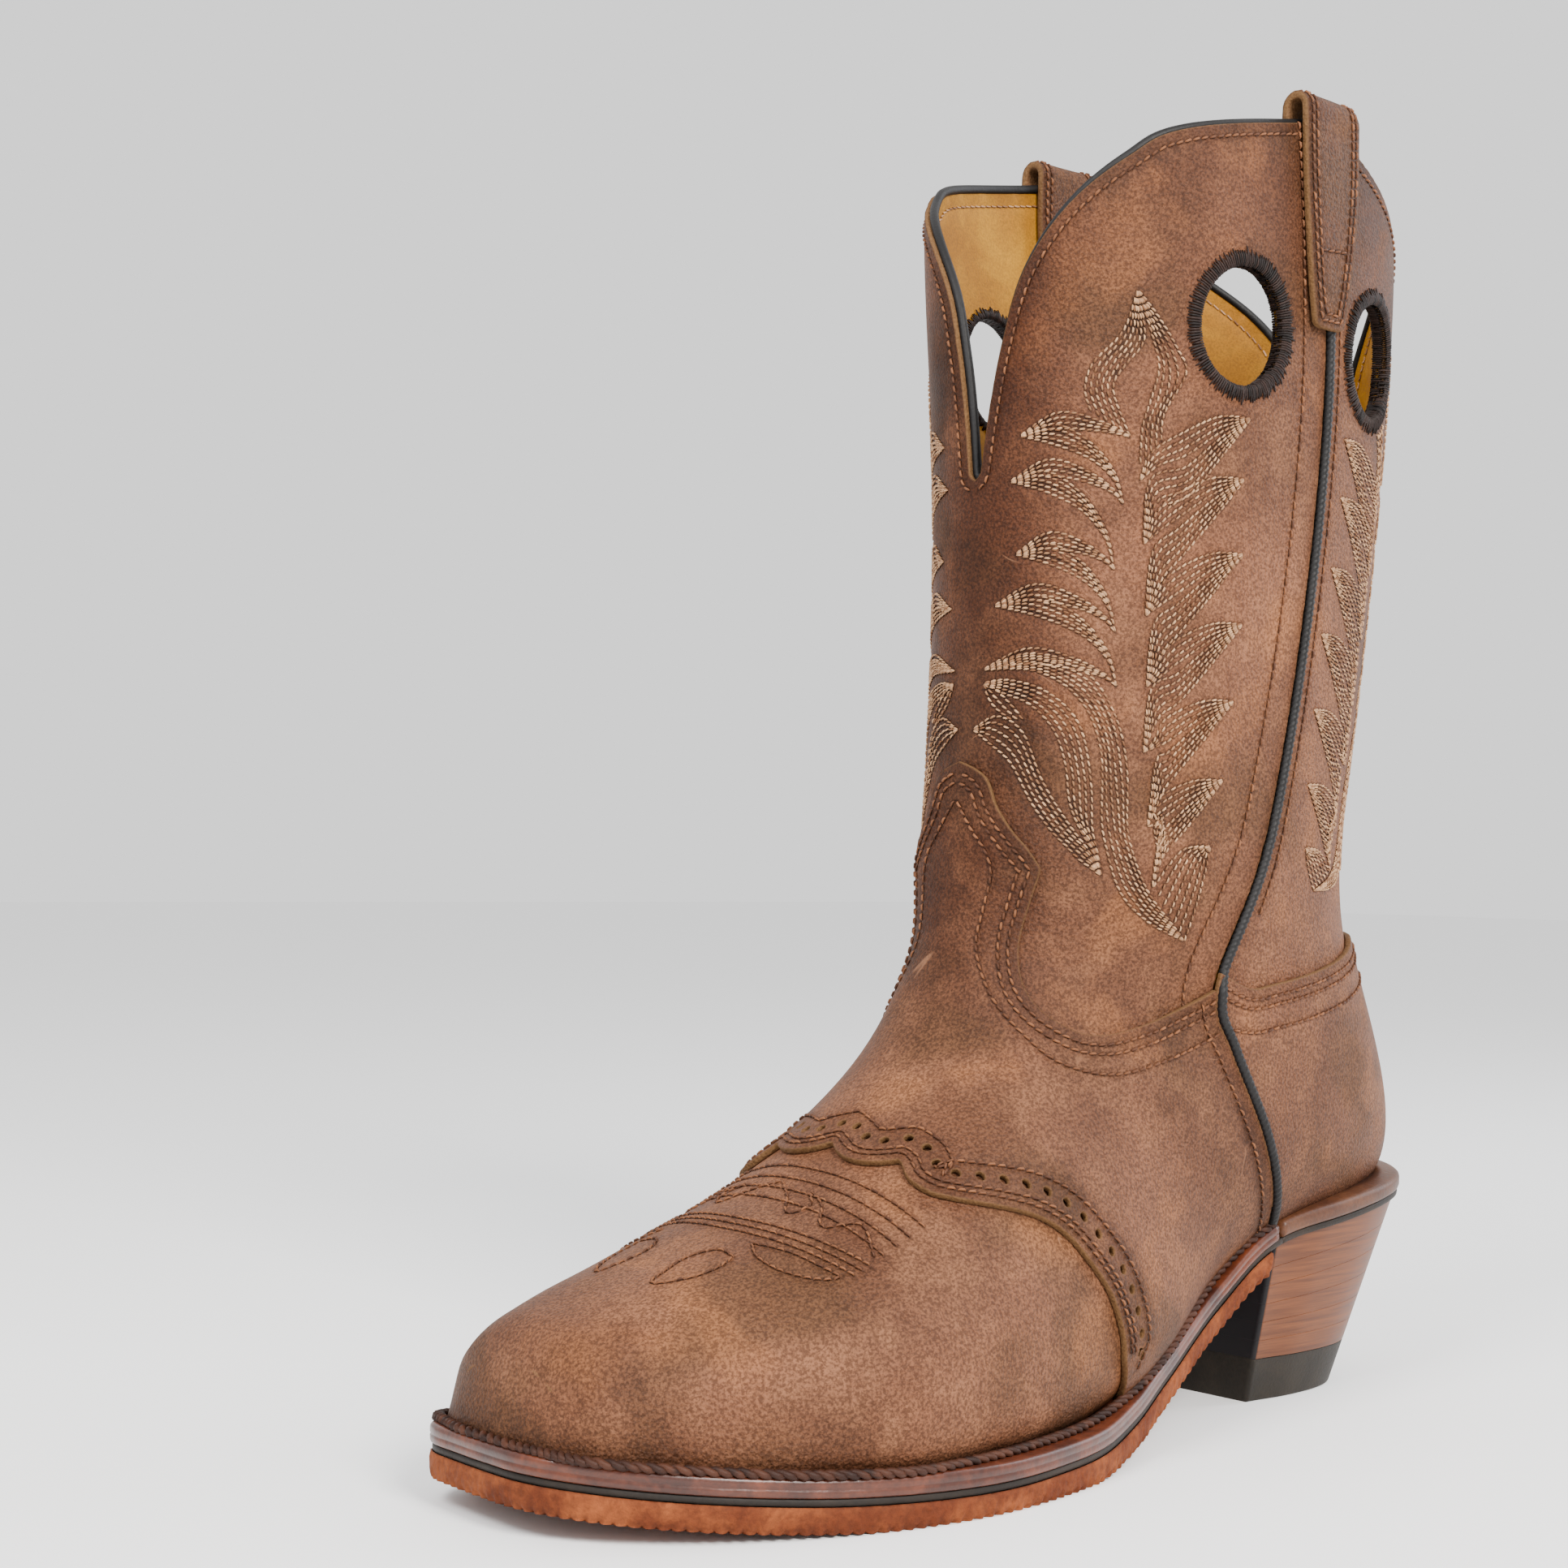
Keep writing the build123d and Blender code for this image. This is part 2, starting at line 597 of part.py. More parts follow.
heel = bottom_piece(heel_block(), heel_top, 80, removed=[nails.part, cap_nails.part])
save(heel & level_slab(-1, CAP), "heel_cap")
front_top = level_at(FEATHER_LINE, HEEL_BREAST_X) - heel_top
back_top = level_at(FEATHER_LINE, REAR_X) - heel_top
for k in range(LIFTS):
    low, high = k / LIFTS, (k + 1) / LIFTS
    corners = [
        (HEEL_BREAST_X + 5, CAP + (front_top - CAP) * low),
        (REAR_X - 5, CAP + (back_top - CAP) * low),
        (REAR_X - 5, CAP + (back_top - CAP) * high if k < LIFTS - 1 else 80),
        (HEEL_BREAST_X + 5, CAP + (front_top - CAP) * high if k < LIFTS - 1 else 80),
    ]
    wedge = side_prism(*[[a, b] for a, b in zip(corners, corners[1:] + corners[:1])])
    save(heel & wedge & level_slab(CAP, 80), f"heel_lift_{k + 1}")
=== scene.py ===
"""Looks for the left western boot: leathers, thread, welt and heel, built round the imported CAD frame.

Units here are millimetres; metres() turns a finished piece into Blender's metres. A place on the boot is
a pair (s, turn): s runs from the toe (0) over the instep (1) and the ankle (2) to the top of the shaft (3),
and turn runs round a section from the front (0) to the back (pi), positive on the lateral side.
"""
import math

import bpy
import numpy as np
from mathutils import Matrix, Vector, geometry, kdtree


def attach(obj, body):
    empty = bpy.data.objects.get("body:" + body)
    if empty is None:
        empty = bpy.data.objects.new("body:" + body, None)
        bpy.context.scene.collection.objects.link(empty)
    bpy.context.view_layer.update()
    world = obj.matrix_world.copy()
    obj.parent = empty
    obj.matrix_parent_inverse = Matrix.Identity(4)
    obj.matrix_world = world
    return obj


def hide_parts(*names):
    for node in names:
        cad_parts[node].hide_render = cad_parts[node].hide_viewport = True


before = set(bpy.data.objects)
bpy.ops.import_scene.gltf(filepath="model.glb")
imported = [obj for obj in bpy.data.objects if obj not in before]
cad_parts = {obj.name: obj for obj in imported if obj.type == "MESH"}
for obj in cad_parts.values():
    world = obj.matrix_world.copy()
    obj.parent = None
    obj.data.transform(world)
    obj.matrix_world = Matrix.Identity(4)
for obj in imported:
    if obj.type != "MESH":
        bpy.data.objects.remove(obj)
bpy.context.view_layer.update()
RNG = np.random.default_rng(7)

# ================================================================ the boot's form (shared with the CAD)
STRAP_REACH = 51.8
BALL_LATERAL = 64.0
BALL_MEDIAL = 49.0
AXIS_Y = (STRAP_REACH - BALL_LATERAL) / 2
REAR_X, TOE_X, TOE_SKIN_X = -152.0, 152.0, 148.5
PIVOT_X, PIVOT_Z, SKIN_TOP = 70.0, 150.0, 352.0
UNDER = 12.0
WELT, MIDSOLE, OUTSOLE = 4.4, 1.8, 6.0
LEATHER, LINING = 2.0, 1.2
SEAM_TOP_Z, NOTCH_Z = 342.0, 243.0
HOLE_WIDTH, HOLE_HEIGHT, HOLE_Z = 28.0, 31.0, 283.0
HOLE_FRONT_X, HOLE_BACK_X = -41.0, -99.0
STRAP_WIDTH, STRAP_THICK, STRAP_GAP, STRAP_X = 23.0, 2.2, 0.6, -71.0
STRAP_OUTER_Z, STRAP_INNER_Z = 286.0, 296.0
STRAP_RADIUS = STRAP_THICK + STRAP_GAP + (LEATHER + LINING) / 2
STRAP_BEND_Z = 347.0 - STRAP_RADIUS
OVERLAY_Z = 114.0
HEEL_BREAST_X, HEEL_FOOT, HEEL_TOP_Z = -74.0, 0.69, 58.0
WELT_END_X = -76.0
CAP, LIFTS = 12.0, 5
TOE_CAP = 12.0  # the closed toe is charted as this much more length

TOPLINE = [(0, NOTCH_Z), (2.5, 260), (6, 276.5), (12, 294.5), (23.5, 310.5), (36, 323), (44, 331.5),
           (49, SEAM_TOP_Z)]

DORSAL = [(4, 352), (6, 325), (7.5, 295), (8.5, 250), (9.5, 200), (11.5, 160), (13.5, 138), (18, 120),
          (25, 106), (36, 93), (50, 81), (68, 69.5), (90, 60), (112, 52.5), (128, 47.5), (138, 43),
          (144.5, 37.5), (147.8, 30), (148.6, 20)]
BACK = [(-138, 352), (-140, 325), (-140.5, 295), (-137.5, 250), (-131.5, 200), (-125.5, 165), (-123.5, 145),
        (-126, 127), (-133, 110), (-140, 95), (-144, 80), (-145, 66), (-143.5, 52), (-138, 41)]
FEATHER = [(-180, 62.5), (-152, 60.5), (-110, 55.5), (-75, 49.5), (-50, 35.8), (-20, 21.6), (10, 13.4),
           (40, 11.6), (70, 11.7), (100, 13), (130, 15.8), (152, 18.5), (180, 21.5)]
STATIONS = [(0.00, 12, 19, 0.60, 2.6, 2.6), (0.02, 16.5, 24, 0.60, 2.6, 2.8),
            (0.05, 20.5, 27.5, 0.60, 2.6, 3.0), (0.11, 26, 30, 0.60, 2.5, 3.0),
            (0.24, 34, 33, 0.60, 2.5, 3.0), (0.43, 43.5, 37.5, 0.60, 2.4, 3.0),
            (0.62, 52, 42, 0.60, 2.3, 3.0), (0.81, 58, 45.5, 0.60, 2.2, 3.0),
            (1.00, 60.5, 47, 0.60, 2.1, 3.0), (1.20, 58.5, 45, 0.62, 2.1, 2.8),
            (1.38, 50, 41.5, 0.62, 2.1, 2.5), (1.55, 42, 39, 0.56, 2.1, 2.3),
            (1.75, 41, 40, 0.50, 2.1, 2.2), (2.00, 44, 43.5, 0.50, 2.1, 2.1),
            (2.25, 45, 45, 0.50, 2.1, 2.1), (2.50, 47, 47.5, 0.50, 2.1, 2.1),
            (2.75, 49.5, 49.5, 0.50, 2.6, 2.1), (3.00, 48.5, 48.5, 0.50, 3.0, 2.1), ]
# the sole from above, about the boot's axis
SOLE_LATERAL = [(151.5, 10), (148, 19.5), (139, 31), (120, 45), (90, 58), (58, BALL_LATERAL), (25, 60.5),
                (0, 52.5), (-22, 44), (-50, 36.5), (-78, 35.5)]
SOLE_MEDIAL = [(151.5, -14), (150.5, -23.5), (146.5, -30), (138, -34.5), (120, -40), (100, -44.5),
               (75, -BALL_MEDIAL), (48, -47.5), (22, -43), (-5, -37.5), (-30, -34), (-52, -33), (-78, -34)]
SEAT_LATERAL = [(-100, 37.5), (-122, 36), (-138, 29.5), (-148.5, 16)]
SEAT_MEDIAL = [(-100, -37), (-122, -36), (-138, -29.5), (-148.5, -16)]

# pattern lines in side view
SEAM = [(-69, 352), (-72.5, 310), (-75, 262), (-70, 205), (-58, 152), (-43, 115), (-48, 98), (-60, 76),
        (-74, 50), (-82, 38)]
COUNTER_TOP = [(-160, 138), (-135, 134), (-120, 129), (-100, 122), (-70, 116), (-43, 113), (-20, 109),
               (10, 102)]

CUTS = [0, 0.02, 0.05, 0.11, 0.2, 0.32, 0.45, 0.6, 0.8, 1.0, 1.15, 1.3, 1.42, 1.54, 1.64, 1.74, 1.83, 1.92,
        2.0, 2.1, 2.25, 2.42, 2.6, 2.8, 3.0]


def unit(vectors):
    return vectors / (np.linalg.norm(vectors, axis=-1, keepdims=True) + 1e-9)


def arc_lengths(points):
    """Distance along a polyline at each of its points."""
    return np.concatenate([[0], np.cumsum(np.linalg.norm(np.diff(points, axis=0), axis=1))])


def smooth(points, steps=12):
    """Catmull-Rom curve through a few points."""
    pts = np.array(points, float)
    knots = np.vstack([2 * pts[0] - pts[1], pts, 2 * pts[-1] - pts[-2]])
    t = (np.arange(steps) / steps)[:, None]
    curve = []
    for k in range(1, len(knots) - 2):
        a, b, c, d = knots[k - 1 : k + 3]
        square, cube = 2 * a - 5 * b + 4 * c - d, 3 * b - a - 3 * c + d
        curve.append(0.5 * (2 * b + (c - a) * t + square * t**2 + cube * t**3))
    return np.vstack(curve + [pts[-1:]])


FEATHER_LINE = smooth(FEATHER)
FRONT_LINE = smooth(DORSAL)


def welt_top(x):
    return np.interp(x, FEATHER_LINE[:, 0], FEATHER_LINE[:, 1])


REAR_LINE = np.vstack([smooth(BACK), [(x, welt_top(x) - UNDER) for x in range(-118, 161, 6)]])


def meeting(line, origin, direction):
    """Distance from the origin to a side-view line, along a unit direction."""
    rel = line - origin
    side = rel[:, 1] * direction[0] - rel[:, 0] * direction[1]
    along = rel @ direction
    k = np.nonzero((side[:-1] * side[1:] <= 0) & (side[:-1] != side[1:]))[0]
    t = side[k] / (side[k] - side[k + 1])
    reach = along[k] + (along[k + 1] - along[k]) * t
    return reach[reach > 0].min()


def station_line(s):
    if s <= 1:
        return np.array([TOE_SKIN_X + (PIVOT_X - TOE_SKIN_X) * s, PIVOT_Z]), np.array([0.0, -1.0])
    if s <= 2:
        angle = math.radians(90 * (2 - s))
        return np.array([PIVOT_X, PIVOT_Z]), np.array([-math.cos(angle), -math.sin(angle)])
    return np.array([PIVOT_X, PIVOT_Z + (SKIN_TOP - PIVOT_Z) * (s - 2)]), np.array([-1.0, 0.0])


def make_sections():
    table = np.array(STATIONS)
    rows = []
    for s in CUTS:
        origin, direction = station_line(s)
        shape = [np.interp(s, table[:, 0], table[:, k]) for k in range(1, 6)]
        front = meeting(FRONT_LINE, origin, direction)
        rear = meeting(REAR_LINE, origin, direction)
        rows.append([*origin, *direction, front, rear, *shape])
    return np.array(rows)


SECTIONS = make_sections()


def section_points(turn):
    """Points of every section at the given turns: array (turns, sections, 3)."""
    turn = np.asarray(turn, float)[:, None]
    ox, oz, dx, dz, front, rear, lateral, medial, widest, full_front, full_back = SECTIONS.T
    middle = front + (rear - front) * widest
    fore = np.abs(turn) <= math.pi / 2
    half = np.where(turn >= 0, lateral, medial)
    full = np.where(fore, full_front, full_back)
    across, along = np.abs(np.sin(turn)), np.abs(np.cos(turn))
    size = (across**full + along**full) ** (-1 / full)
    depth = np.where(fore, middle - front, rear - middle)
    r = middle - np.sign(np.cos(turn)) * depth * along * size
    w = half * across * size * np.sign(turn)
    return np.stack([ox + dx * r, AXIS_Y + w, oz + dz * r], -1)


def spline_weights():
    """Second derivatives of the natural cubic spline through each section, for unit data."""
    x = np.array(CUTS, float)
    n = len(x)
    h = np.diff(x)
    system = np.eye(n)
    right = np.zeros((n, n))
    for k in range(1, n - 1):
        system[k, k - 1 : k + 2] = h[k - 1], 2 * (h[k - 1] + h[k]), h[k]
        right[k, k - 1 : k + 2] = 6 / h[k - 1], -6 / h[k - 1] - 6 / h[k], 6 / h[k]
    return x, h, np.linalg.solve(system, right)


KNOTS, GAPS, BENDS = spline_weights()


def blend_weights(s):
    """Weights of every section at the given s: array (points, sections)."""
    s = np.clip(np.asarray(s, float), 0, 3)
    k = np.clip(np.searchsorted(KNOTS, s, side="right") - 1, 0, len(KNOTS) - 2)
    h = GAPS[k]
    b = (s - KNOTS[k]) / h
    a = 1 - b
    weights = ((a**3 - a) * h**2 / 6)[:, None] * BENDS[k] + ((b**3 - b) * h**2 / 6)[:, None] * BENDS[k + 1]
    rows = np.arange(len(s))
    weights[rows, k] += a
    weights[rows, k + 1] += b
    return weights


def skin(s, turn):
    """Points of the skin, array (n, 3)."""
    s, turn = np.broadcast_arrays(np.asarray(s, float), np.asarray(turn, float))
    flat_s = s.ravel()
    flat_turn = (turn.ravel() + math.pi) % (2 * math.pi) - math.pi
    out = np.empty((flat_s.size, 3))
    for start in range(0, flat_s.size, 20000):
        part = slice(start, start + 20000)
        out[part] = np.einsum("nk,nkc->nc", blend_weights(flat_s[part]), section_points(flat_turn[part]))
    return out.reshape(s.shape + (3,))


STEP = 1e-3


def tangents(s, turn):
    s, turn = np.asarray(s, float), np.asarray(turn, float)
    ds = (skin(s + STEP, turn) - skin(s - STEP, turn)) / (2 * STEP)
    dt = (skin(s, turn + STEP) - skin(s, turn - STEP)) / (2 * STEP)
    return ds, dt


def normals(s, turn):
    """Outward unit normals of the skin."""
    ds, dt = tangents(s, turn)
    return unit(np.cross(dt, ds))


# ================================================================ charts
class Chart:
    """The skin unrolled. A place is (a, t): a is the distance round a section from the middle line,
    positive on the lateral side. t is the height, which below the ankle goes on as the distance along
    the middle line."""

    ROWS, COLUMNS, SPAN = 301, 361, 190.0

    def __init__(self, back):
        self.back = back
        self.flipped = back  # seen from behind, the lateral side is on the left
        self.s = np.linspace(0, 3, self.ROWS)
        self.angle = np.linspace(-math.pi, math.pi, self.COLUMNS)
        self.points = skin(self.s[:, None], self.turn(self.angle)[None, :])
        step = np.linalg.norm(np.diff(self.points, axis=1), axis=2)
        arc = np.hstack([np.zeros((self.ROWS, 1)), np.cumsum(step, axis=1)])
        middle = self.COLUMNS // 2
        self.arc = arc - arc[:, middle : middle + 1]
        t = arc_lengths(self.points[:, middle])
        ankle = np.searchsorted(self.s, 2.0)
        t += PIVOT_Z - t[ankle]
        t[ankle:] = PIVOT_Z + (SKIN_TOP - PIVOT_Z) * (self.s[ankle:] - 2)
        self.t = t
        self.a = np.linspace(-self.SPAN, self.SPAN, 2 * self.COLUMNS + 1)
        self.inverse = np.array([np.interp(self.a, row, self.angle) for row in self.arc])

    def turn(self, angle):
        return math.pi - angle if self.back else angle

    def place(self, at):
        """(s, turn) of places in the chart."""
        at = np.asarray(at, float)
        s = np.interp(at[:, 1], self.t, self.s)
        angle = bilinear(self.inverse, s / 3, (at[:, 0] + self.SPAN) / (2 * self.SPAN))
        return s, self.turn(angle)

    def surface(self, at, offset=0.0):
        """Points and outward normals at places in the chart."""
        at = np.asarray(at, float)
        s, turn = self.place(at)
        points, normal = skin(s, turn), normals(s, turn)
        past = np.clip((self.t[0] - at[:, 1]) / TOE_CAP, 0, 1)[:, None]
        middle = np.array([TOE_SKIN_X + 1.0, AXIS_Y - 3.0, welt_top(TOE_SKIN_X) - 0.7])
        facing = np.clip(past * 4, 0, 1)
        normal = unit(normal * (1 - facing) + np.array([1.0, 0, 0]) * facing)
        return points + (middle - points) * past + normal * np.reshape(offset, (-1, 1)), normal

    def locate(self, targets, axes, side, s_range=(0.0, 3.0)):
        """Chart places of the points, on one side of the skin, with the given coordinates on two axes."""
        targets = np.asarray(targets, float)
        rows = np.nonzero((self.s >= s_range[0]) & (self.s <= s_range[1]))[0][::2]
        middle = self.COLUMNS // 2
        low, high = (middle + 1, self.COLUMNS - 1) if side > 0 else (1, middle)
        columns = np.arange(low, high, 2)
        grid = self.points[rows][:, columns][..., axes].reshape(-1, 2)
        s, angle = [], []
        for target in targets:
            k = np.argmin(((grid - target) ** 2).sum(1))
            s.append(self.s[rows[k // len(columns)]])
            angle.append(self.angle[columns[k % len(columns)]])
        s, angle = np.array(s), np.array(angle)
        for _ in range(5):
            here = skin(s, self.turn(angle))[:, axes]
            by_s = (skin(s + STEP, self.turn(angle))[:, axes] - here) / STEP
            by_angle = (skin(s, self.turn(angle + STEP))[:, axes] - here) / STEP
            miss = targets - here
            det = by_s[:, 0] * by_angle[:, 1] - by_s[:, 1] * by_angle[:, 0]
            det = np.where(np.abs(det) < 1.0, np.copysign(1.0, det), det)
            ds = (miss[:, 0] * by_angle[:, 1] - miss[:, 1] * by_angle[:, 0]) / det
            da = (by_s[:, 0] * miss[:, 1] - by_s[:, 1] * miss[:, 0]) / det
            s = np.clip(s + np.clip(ds, -0.03, 0.03), 0, 3)
            angle = np.clip(angle + np.clip(da, -0.08, 0.08), -math.pi, math.pi)
        return self.find(s, angle)

    def find(self, s, angle):
        """Chart place of (s, angle from the middle line)."""
        a = bilinear(self.arc, np.asarray(s) / 3, (np.asarray(angle) + math.pi) / (2 * math.pi))
        return np.column_stack([a, np.interp(s, self.s, self.t)])


def bilinear(table, u, v):
    """Values between the entries of a table, at fractions u and v of its rows and columns."""
    rows, columns = table.shape
    i = np.clip(u, 0, 1) * (rows - 1)
    j = np.clip(v, 0, 1) * (columns - 1)
    i0 = np.clip(i.astype(int), 0, rows - 2)
    j0 = np.clip(j.astype(int), 0, columns - 2)
    i, j = i - i0, j - j0
    upper = table[i0, j0] * (1 - j) + table[i0, j0 + 1] * j
    lower = table[i0 + 1, j0] * (1 - j) + table[i0 + 1, j0 + 1] * j
    return upper * (1 - i) + lower * i


FRONT = Chart(back=False)
BACK = Chart(back=True)
SIDE_VIEW = [0, 2]


# ================================================================ lines on the leather
def resampled(values, length, pitch, closed):
    """Values at even steps of the length along them; a closed line doesn't repeat its first point."""
    count = max(3, round(length[-1] / pitch))
    at = np.linspace(0, length[-1], count + 1)[: count if closed else count + 1]
    return np.column_stack([np.interp(at, length, column) for column in values.T])


def looped(points, closed):
    return np.vstack([points, points[:1]]) if closed else points


def spaced(points, pitch, closed=False):
    """Even points along a polyline."""
    points = looped(np.asarray(points, float), closed)
    return resampled(points, arc_lengths(points), pitch, closed)


def spaced_on(chart, line, pitch, closed=False):
    """The same for a line in a chart, even along the leather."""
    dense = looped(spaced(line, 0.7, closed), closed)
    return resampled(dense, arc_lengths(chart.surface(dense)[0]), pitch, closed)


def beside(chart, line, distance, closed=False):
    """The line moved sideways on the leather, to its left as seen from outside."""
    steps = max(1, math.ceil(abs(distance) / 3.0))
    line = np.array(line, float)
    for _ in range(steps):
        here, normal = chart.surface(line)
        by_a = (chart.surface(line + [0.5, 0])[0] - here) / 0.5
        by_t = (chart.surface(line + [0, 0.5])[0] - here) / 0.5
        if closed:
            run = np.roll(here, -1, axis=0) - np.roll(here, 1, axis=0)
        else:
            run = np.gradient(here, axis=0)
        move = np.cross(normal, unit(run)) * (distance / steps)
        aa, at, tt = (by_a * by_a).sum(1), (by_a * by_t).sum(1), (by_t * by_t).sum(1)
        ra, rt = (move * by_a).sum(1), (move * by_t).sum(1)
        det = np.maximum(aa * tt - at * at, 0.05)
        line = line + np.column_stack([ra * tt - rt * at, rt * aa - ra * at]) / det[:, None]
    return line


def mirrored(line):
    """The same line on the medial side, run the other way."""
    return np.asarray(line, float)[::-1] * [-1, 1]


def seam_line(chart, side, low, high):
    """The side seam between two heights, top first."""
    line = smooth(SEAM, 10)
    line = line[(line[:, 1] >= low) & (line[:, 1] <= high)]
    return chart.locate(line, SIDE_VIEW, side)


def welt_line(chart, side, x_low, x_high, tuck=0.7):
    """Where the upper meets the welt, from the heel end forwards."""
    x = np.arange(x_low, x_high + 0.1, 3.0)
    return chart.locate(np.column_stack([x, welt_top(x) - tuck]), SIDE_VIEW, side)


def topline(chart):
    """The edge of the shaft from its lowest point in the V to the side seam, lateral side."""
    rows = np.array(TOPLINE[:-1])
    rows[:, 0] = np.maximum(rows[:, 0], 0.01)
    s = 2 + (rows[:, 1] - PIVOT_Z) / (SKIN_TOP - PIVOT_Z)
    places = []
    for y, at in zip(rows[:, 0], s):
        row = skin(np.full(181, at), chart.turn(np.linspace(0, math.pi / 2, 181)))
        angle = np.interp(y, row[:, 1] - AXIS_Y, np.linspace(0, math.pi / 2, 181))
        places.append(chart.find(np.array([at]), np.array([angle]))[0])
    places.append(seam_line(chart, 1, SEAM_TOP_Z - 12, SEAM_TOP_Z + 12)[0] * [1, 0] + [0, SEAM_TOP_Z])
    places[-1][0] = np.interp(SEAM_TOP_Z, *seam_table(chart, 1))
    places[0][0] = 0
    return smooth(places, 14)


def seam_table(chart, side):
    """Heights and distances of the side seam in the shaft, for interpolation."""
    line = seam_line(chart, side, 150, 352)
    return line[::-1, 1], line[::-1, 0]


# ================================================================ meshes
def metres(points):
    return (np.asarray(points, float) / 1000).tolist()


def add_mesh(name, vertices, faces, material, slot_name, nodes=(), attributes=None):
    """A finished piece, from millimetres, riding on the boot and standing for its CAD nodes."""
    mesh = bpy.data.meshes.new(name)
    mesh.from_pydata(metres(vertices), [], faces)
    mesh.update()
    for label, values in (attributes or {}).items():
        layer = mesh.attributes.new(label, "FLOAT", "POINT")
        layer.data.foreach_set("value", np.asarray(values, np.float32))
    mesh.shade_smooth()
    mesh.materials.append(material)
    piece = bpy.data.objects.new(name, mesh)
    bpy.context.scene.collection.objects.link(piece)
    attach(piece, "root")
    if nodes:
        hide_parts(*nodes)


def inside(points, loops):
    """Which points lie inside the outer loop and outside the holes."""
    crossings = np.zeros(len(points), int)
    for loop in loops:
        a, b = loop, np.roll(loop, -1, axis=0)
        for start in range(0, len(points), 4000):
            p = points[start : start + 4000]
            above = (a[None, :, 1] > p[:, None, 1]) != (b[None, :, 1] > p[:, None, 1])
            rise = np.where(b[:, 1] == a[:, 1], 1e-9, b[:, 1] - a[:, 1])
            x = a[:, 0] + (p[:, 1, None] - a[:, 1]) * (b[:, 0] - a[:, 0]) / rise
            crossings[start : start + 4000] += (above & (p[:, 0, None] < x)).sum(1)
    return crossings % 2 == 1


def turned(loop, anticlockwise):
    """The loop, reversed if it runs the other way round."""
    area = np.sum(loop[:, 0] * np.roll(loop[:, 1], -1) - np.roll(loop[:, 0], -1) * loop[:, 1])
    return loop if (area > 0) == anticlockwise else loop[::-1]


def nearest(tree, points):
    """Distance from each point to the nearest one in a tree."""
    return np.array([tree.find((p[0], p[1], 0))[2] for p in points])


def tree_of(points):
    tree = kdtree.KDTree(len(points))
    for k, p in enumerate(points):
        tree.insert((p[0], p[1], 0), k)
    tree.balance()
    return tree


def triangulate(loops, extra):
    """Triangles between the loops, with extra points inside: (points, faces, rows of the loops)."""
    points = np.vstack(loops + [extra])
    edges = []
    start = 0
    for loop in loops:
        count = len(loop)
        edges += [(start + k, start + (k + 1) % count) for k in range(count)]
        start += count
    flat = [Vector(p) for p in points]
    found, _, faces, origin, _, _ = geometry.delaunay_2d_cdt(flat, edges, [], 0, 1e-4, True)
    found = np.array([tuple(p) for p in found])
    faces = np.array(faces)
    faces = faces[inside(found[faces].mean(1), loops)]
    place = np.full(len(points), -1)
    for k, sources in enumerate(origin):
        for source in sources:
            place[source] = k
    rows = []
    start = 0
    for loop in loops:
        rows.append(place[start : start + len(loop)])
        start += len(loop)
    return found, faces, rows


STITCH = 2.5  # pitch of the ordinary rows of stitches
GROOVE = 0.8  # half width of the groove that a row of stitches pulls into the leather
GROOVE_DEPTH = 0.28
EDGE_DROP = 0.22  # how far the leather falls away towards a cut edge


def groove_points(chart, rows):
    """Middle and flank points of every row of stitches."""
    middles = [spaced_on(chart, row, 1.7) for row in rows]
    tree = tree_of(np.vstack(middles))
    flanks = np.vstack([beside(chart, line, side * GROOVE) for line in middles for side in (1, -1)])
    flanks = flanks[nearest(tree, flanks) > 0.62 * GROOVE]
    return np.vstack(middles), flanks


def filling(chart, loops, pitch, keep_off, closest):
    """Staggered points inside the loops, closer together where the chart is squeezed."""
    low, high = loops[0].min(0), loops[0].max(0)
    step = pitch * 0.43
    points = []
    for k, t in enumerate(np.arange(low[1] + step, high[1], step)):
        a = np.arange(low[0] + (pitch / 2 if k // 2 % 2 else 0), high[0], pitch)
        row = np.column_stack([a, np.full(len(a), t)])
        if k % 2:
            here, _ = chart.surface(row)
            there, _ = chart.surface(row + [0, 1.0])
            row = row[np.linalg.norm(there - here, axis=1) > 1.45]
        points.append(row)
    points = np.vstack(points)
    points = points[inside(points, loops)]
    return points[nearest(keep_off, points) > closest]


def rub_and_shade(chart, flat, points):
    """How dark the leather is made along the middle line, at the top, round the toe and above the welt:
    partly rubbed leather, partly painted shade, the band down the middle line most of all.
    """
    if not isinstance(chart, Chart):
        return 0.0
    a, t = flat.T
    welt = np.clip(1 - (points[:, 2] - welt_top(points[:, 0])) / 18, 0, 1) ** 1.5
    # painted shade: a dark band down the middle line, darkest on the front panel, standing in for the shade
    # on the front of the shaft
    middle = np.exp(-((a / 27) ** 4)) * np.clip((t - 92) / 30, 0, 1) * np.clip((330 - t) / 60, 0.3, 1)
    top = np.clip((t - 250) / 80, 0, 1)
    toe = np.clip((points[:, 0] - 112) / 34, 0, 1)
    return np.clip(0.5 * welt + (0.6 if chart.back else 0.95) * middle + 0.62 * top + 0.3 * toe, 0, 1)


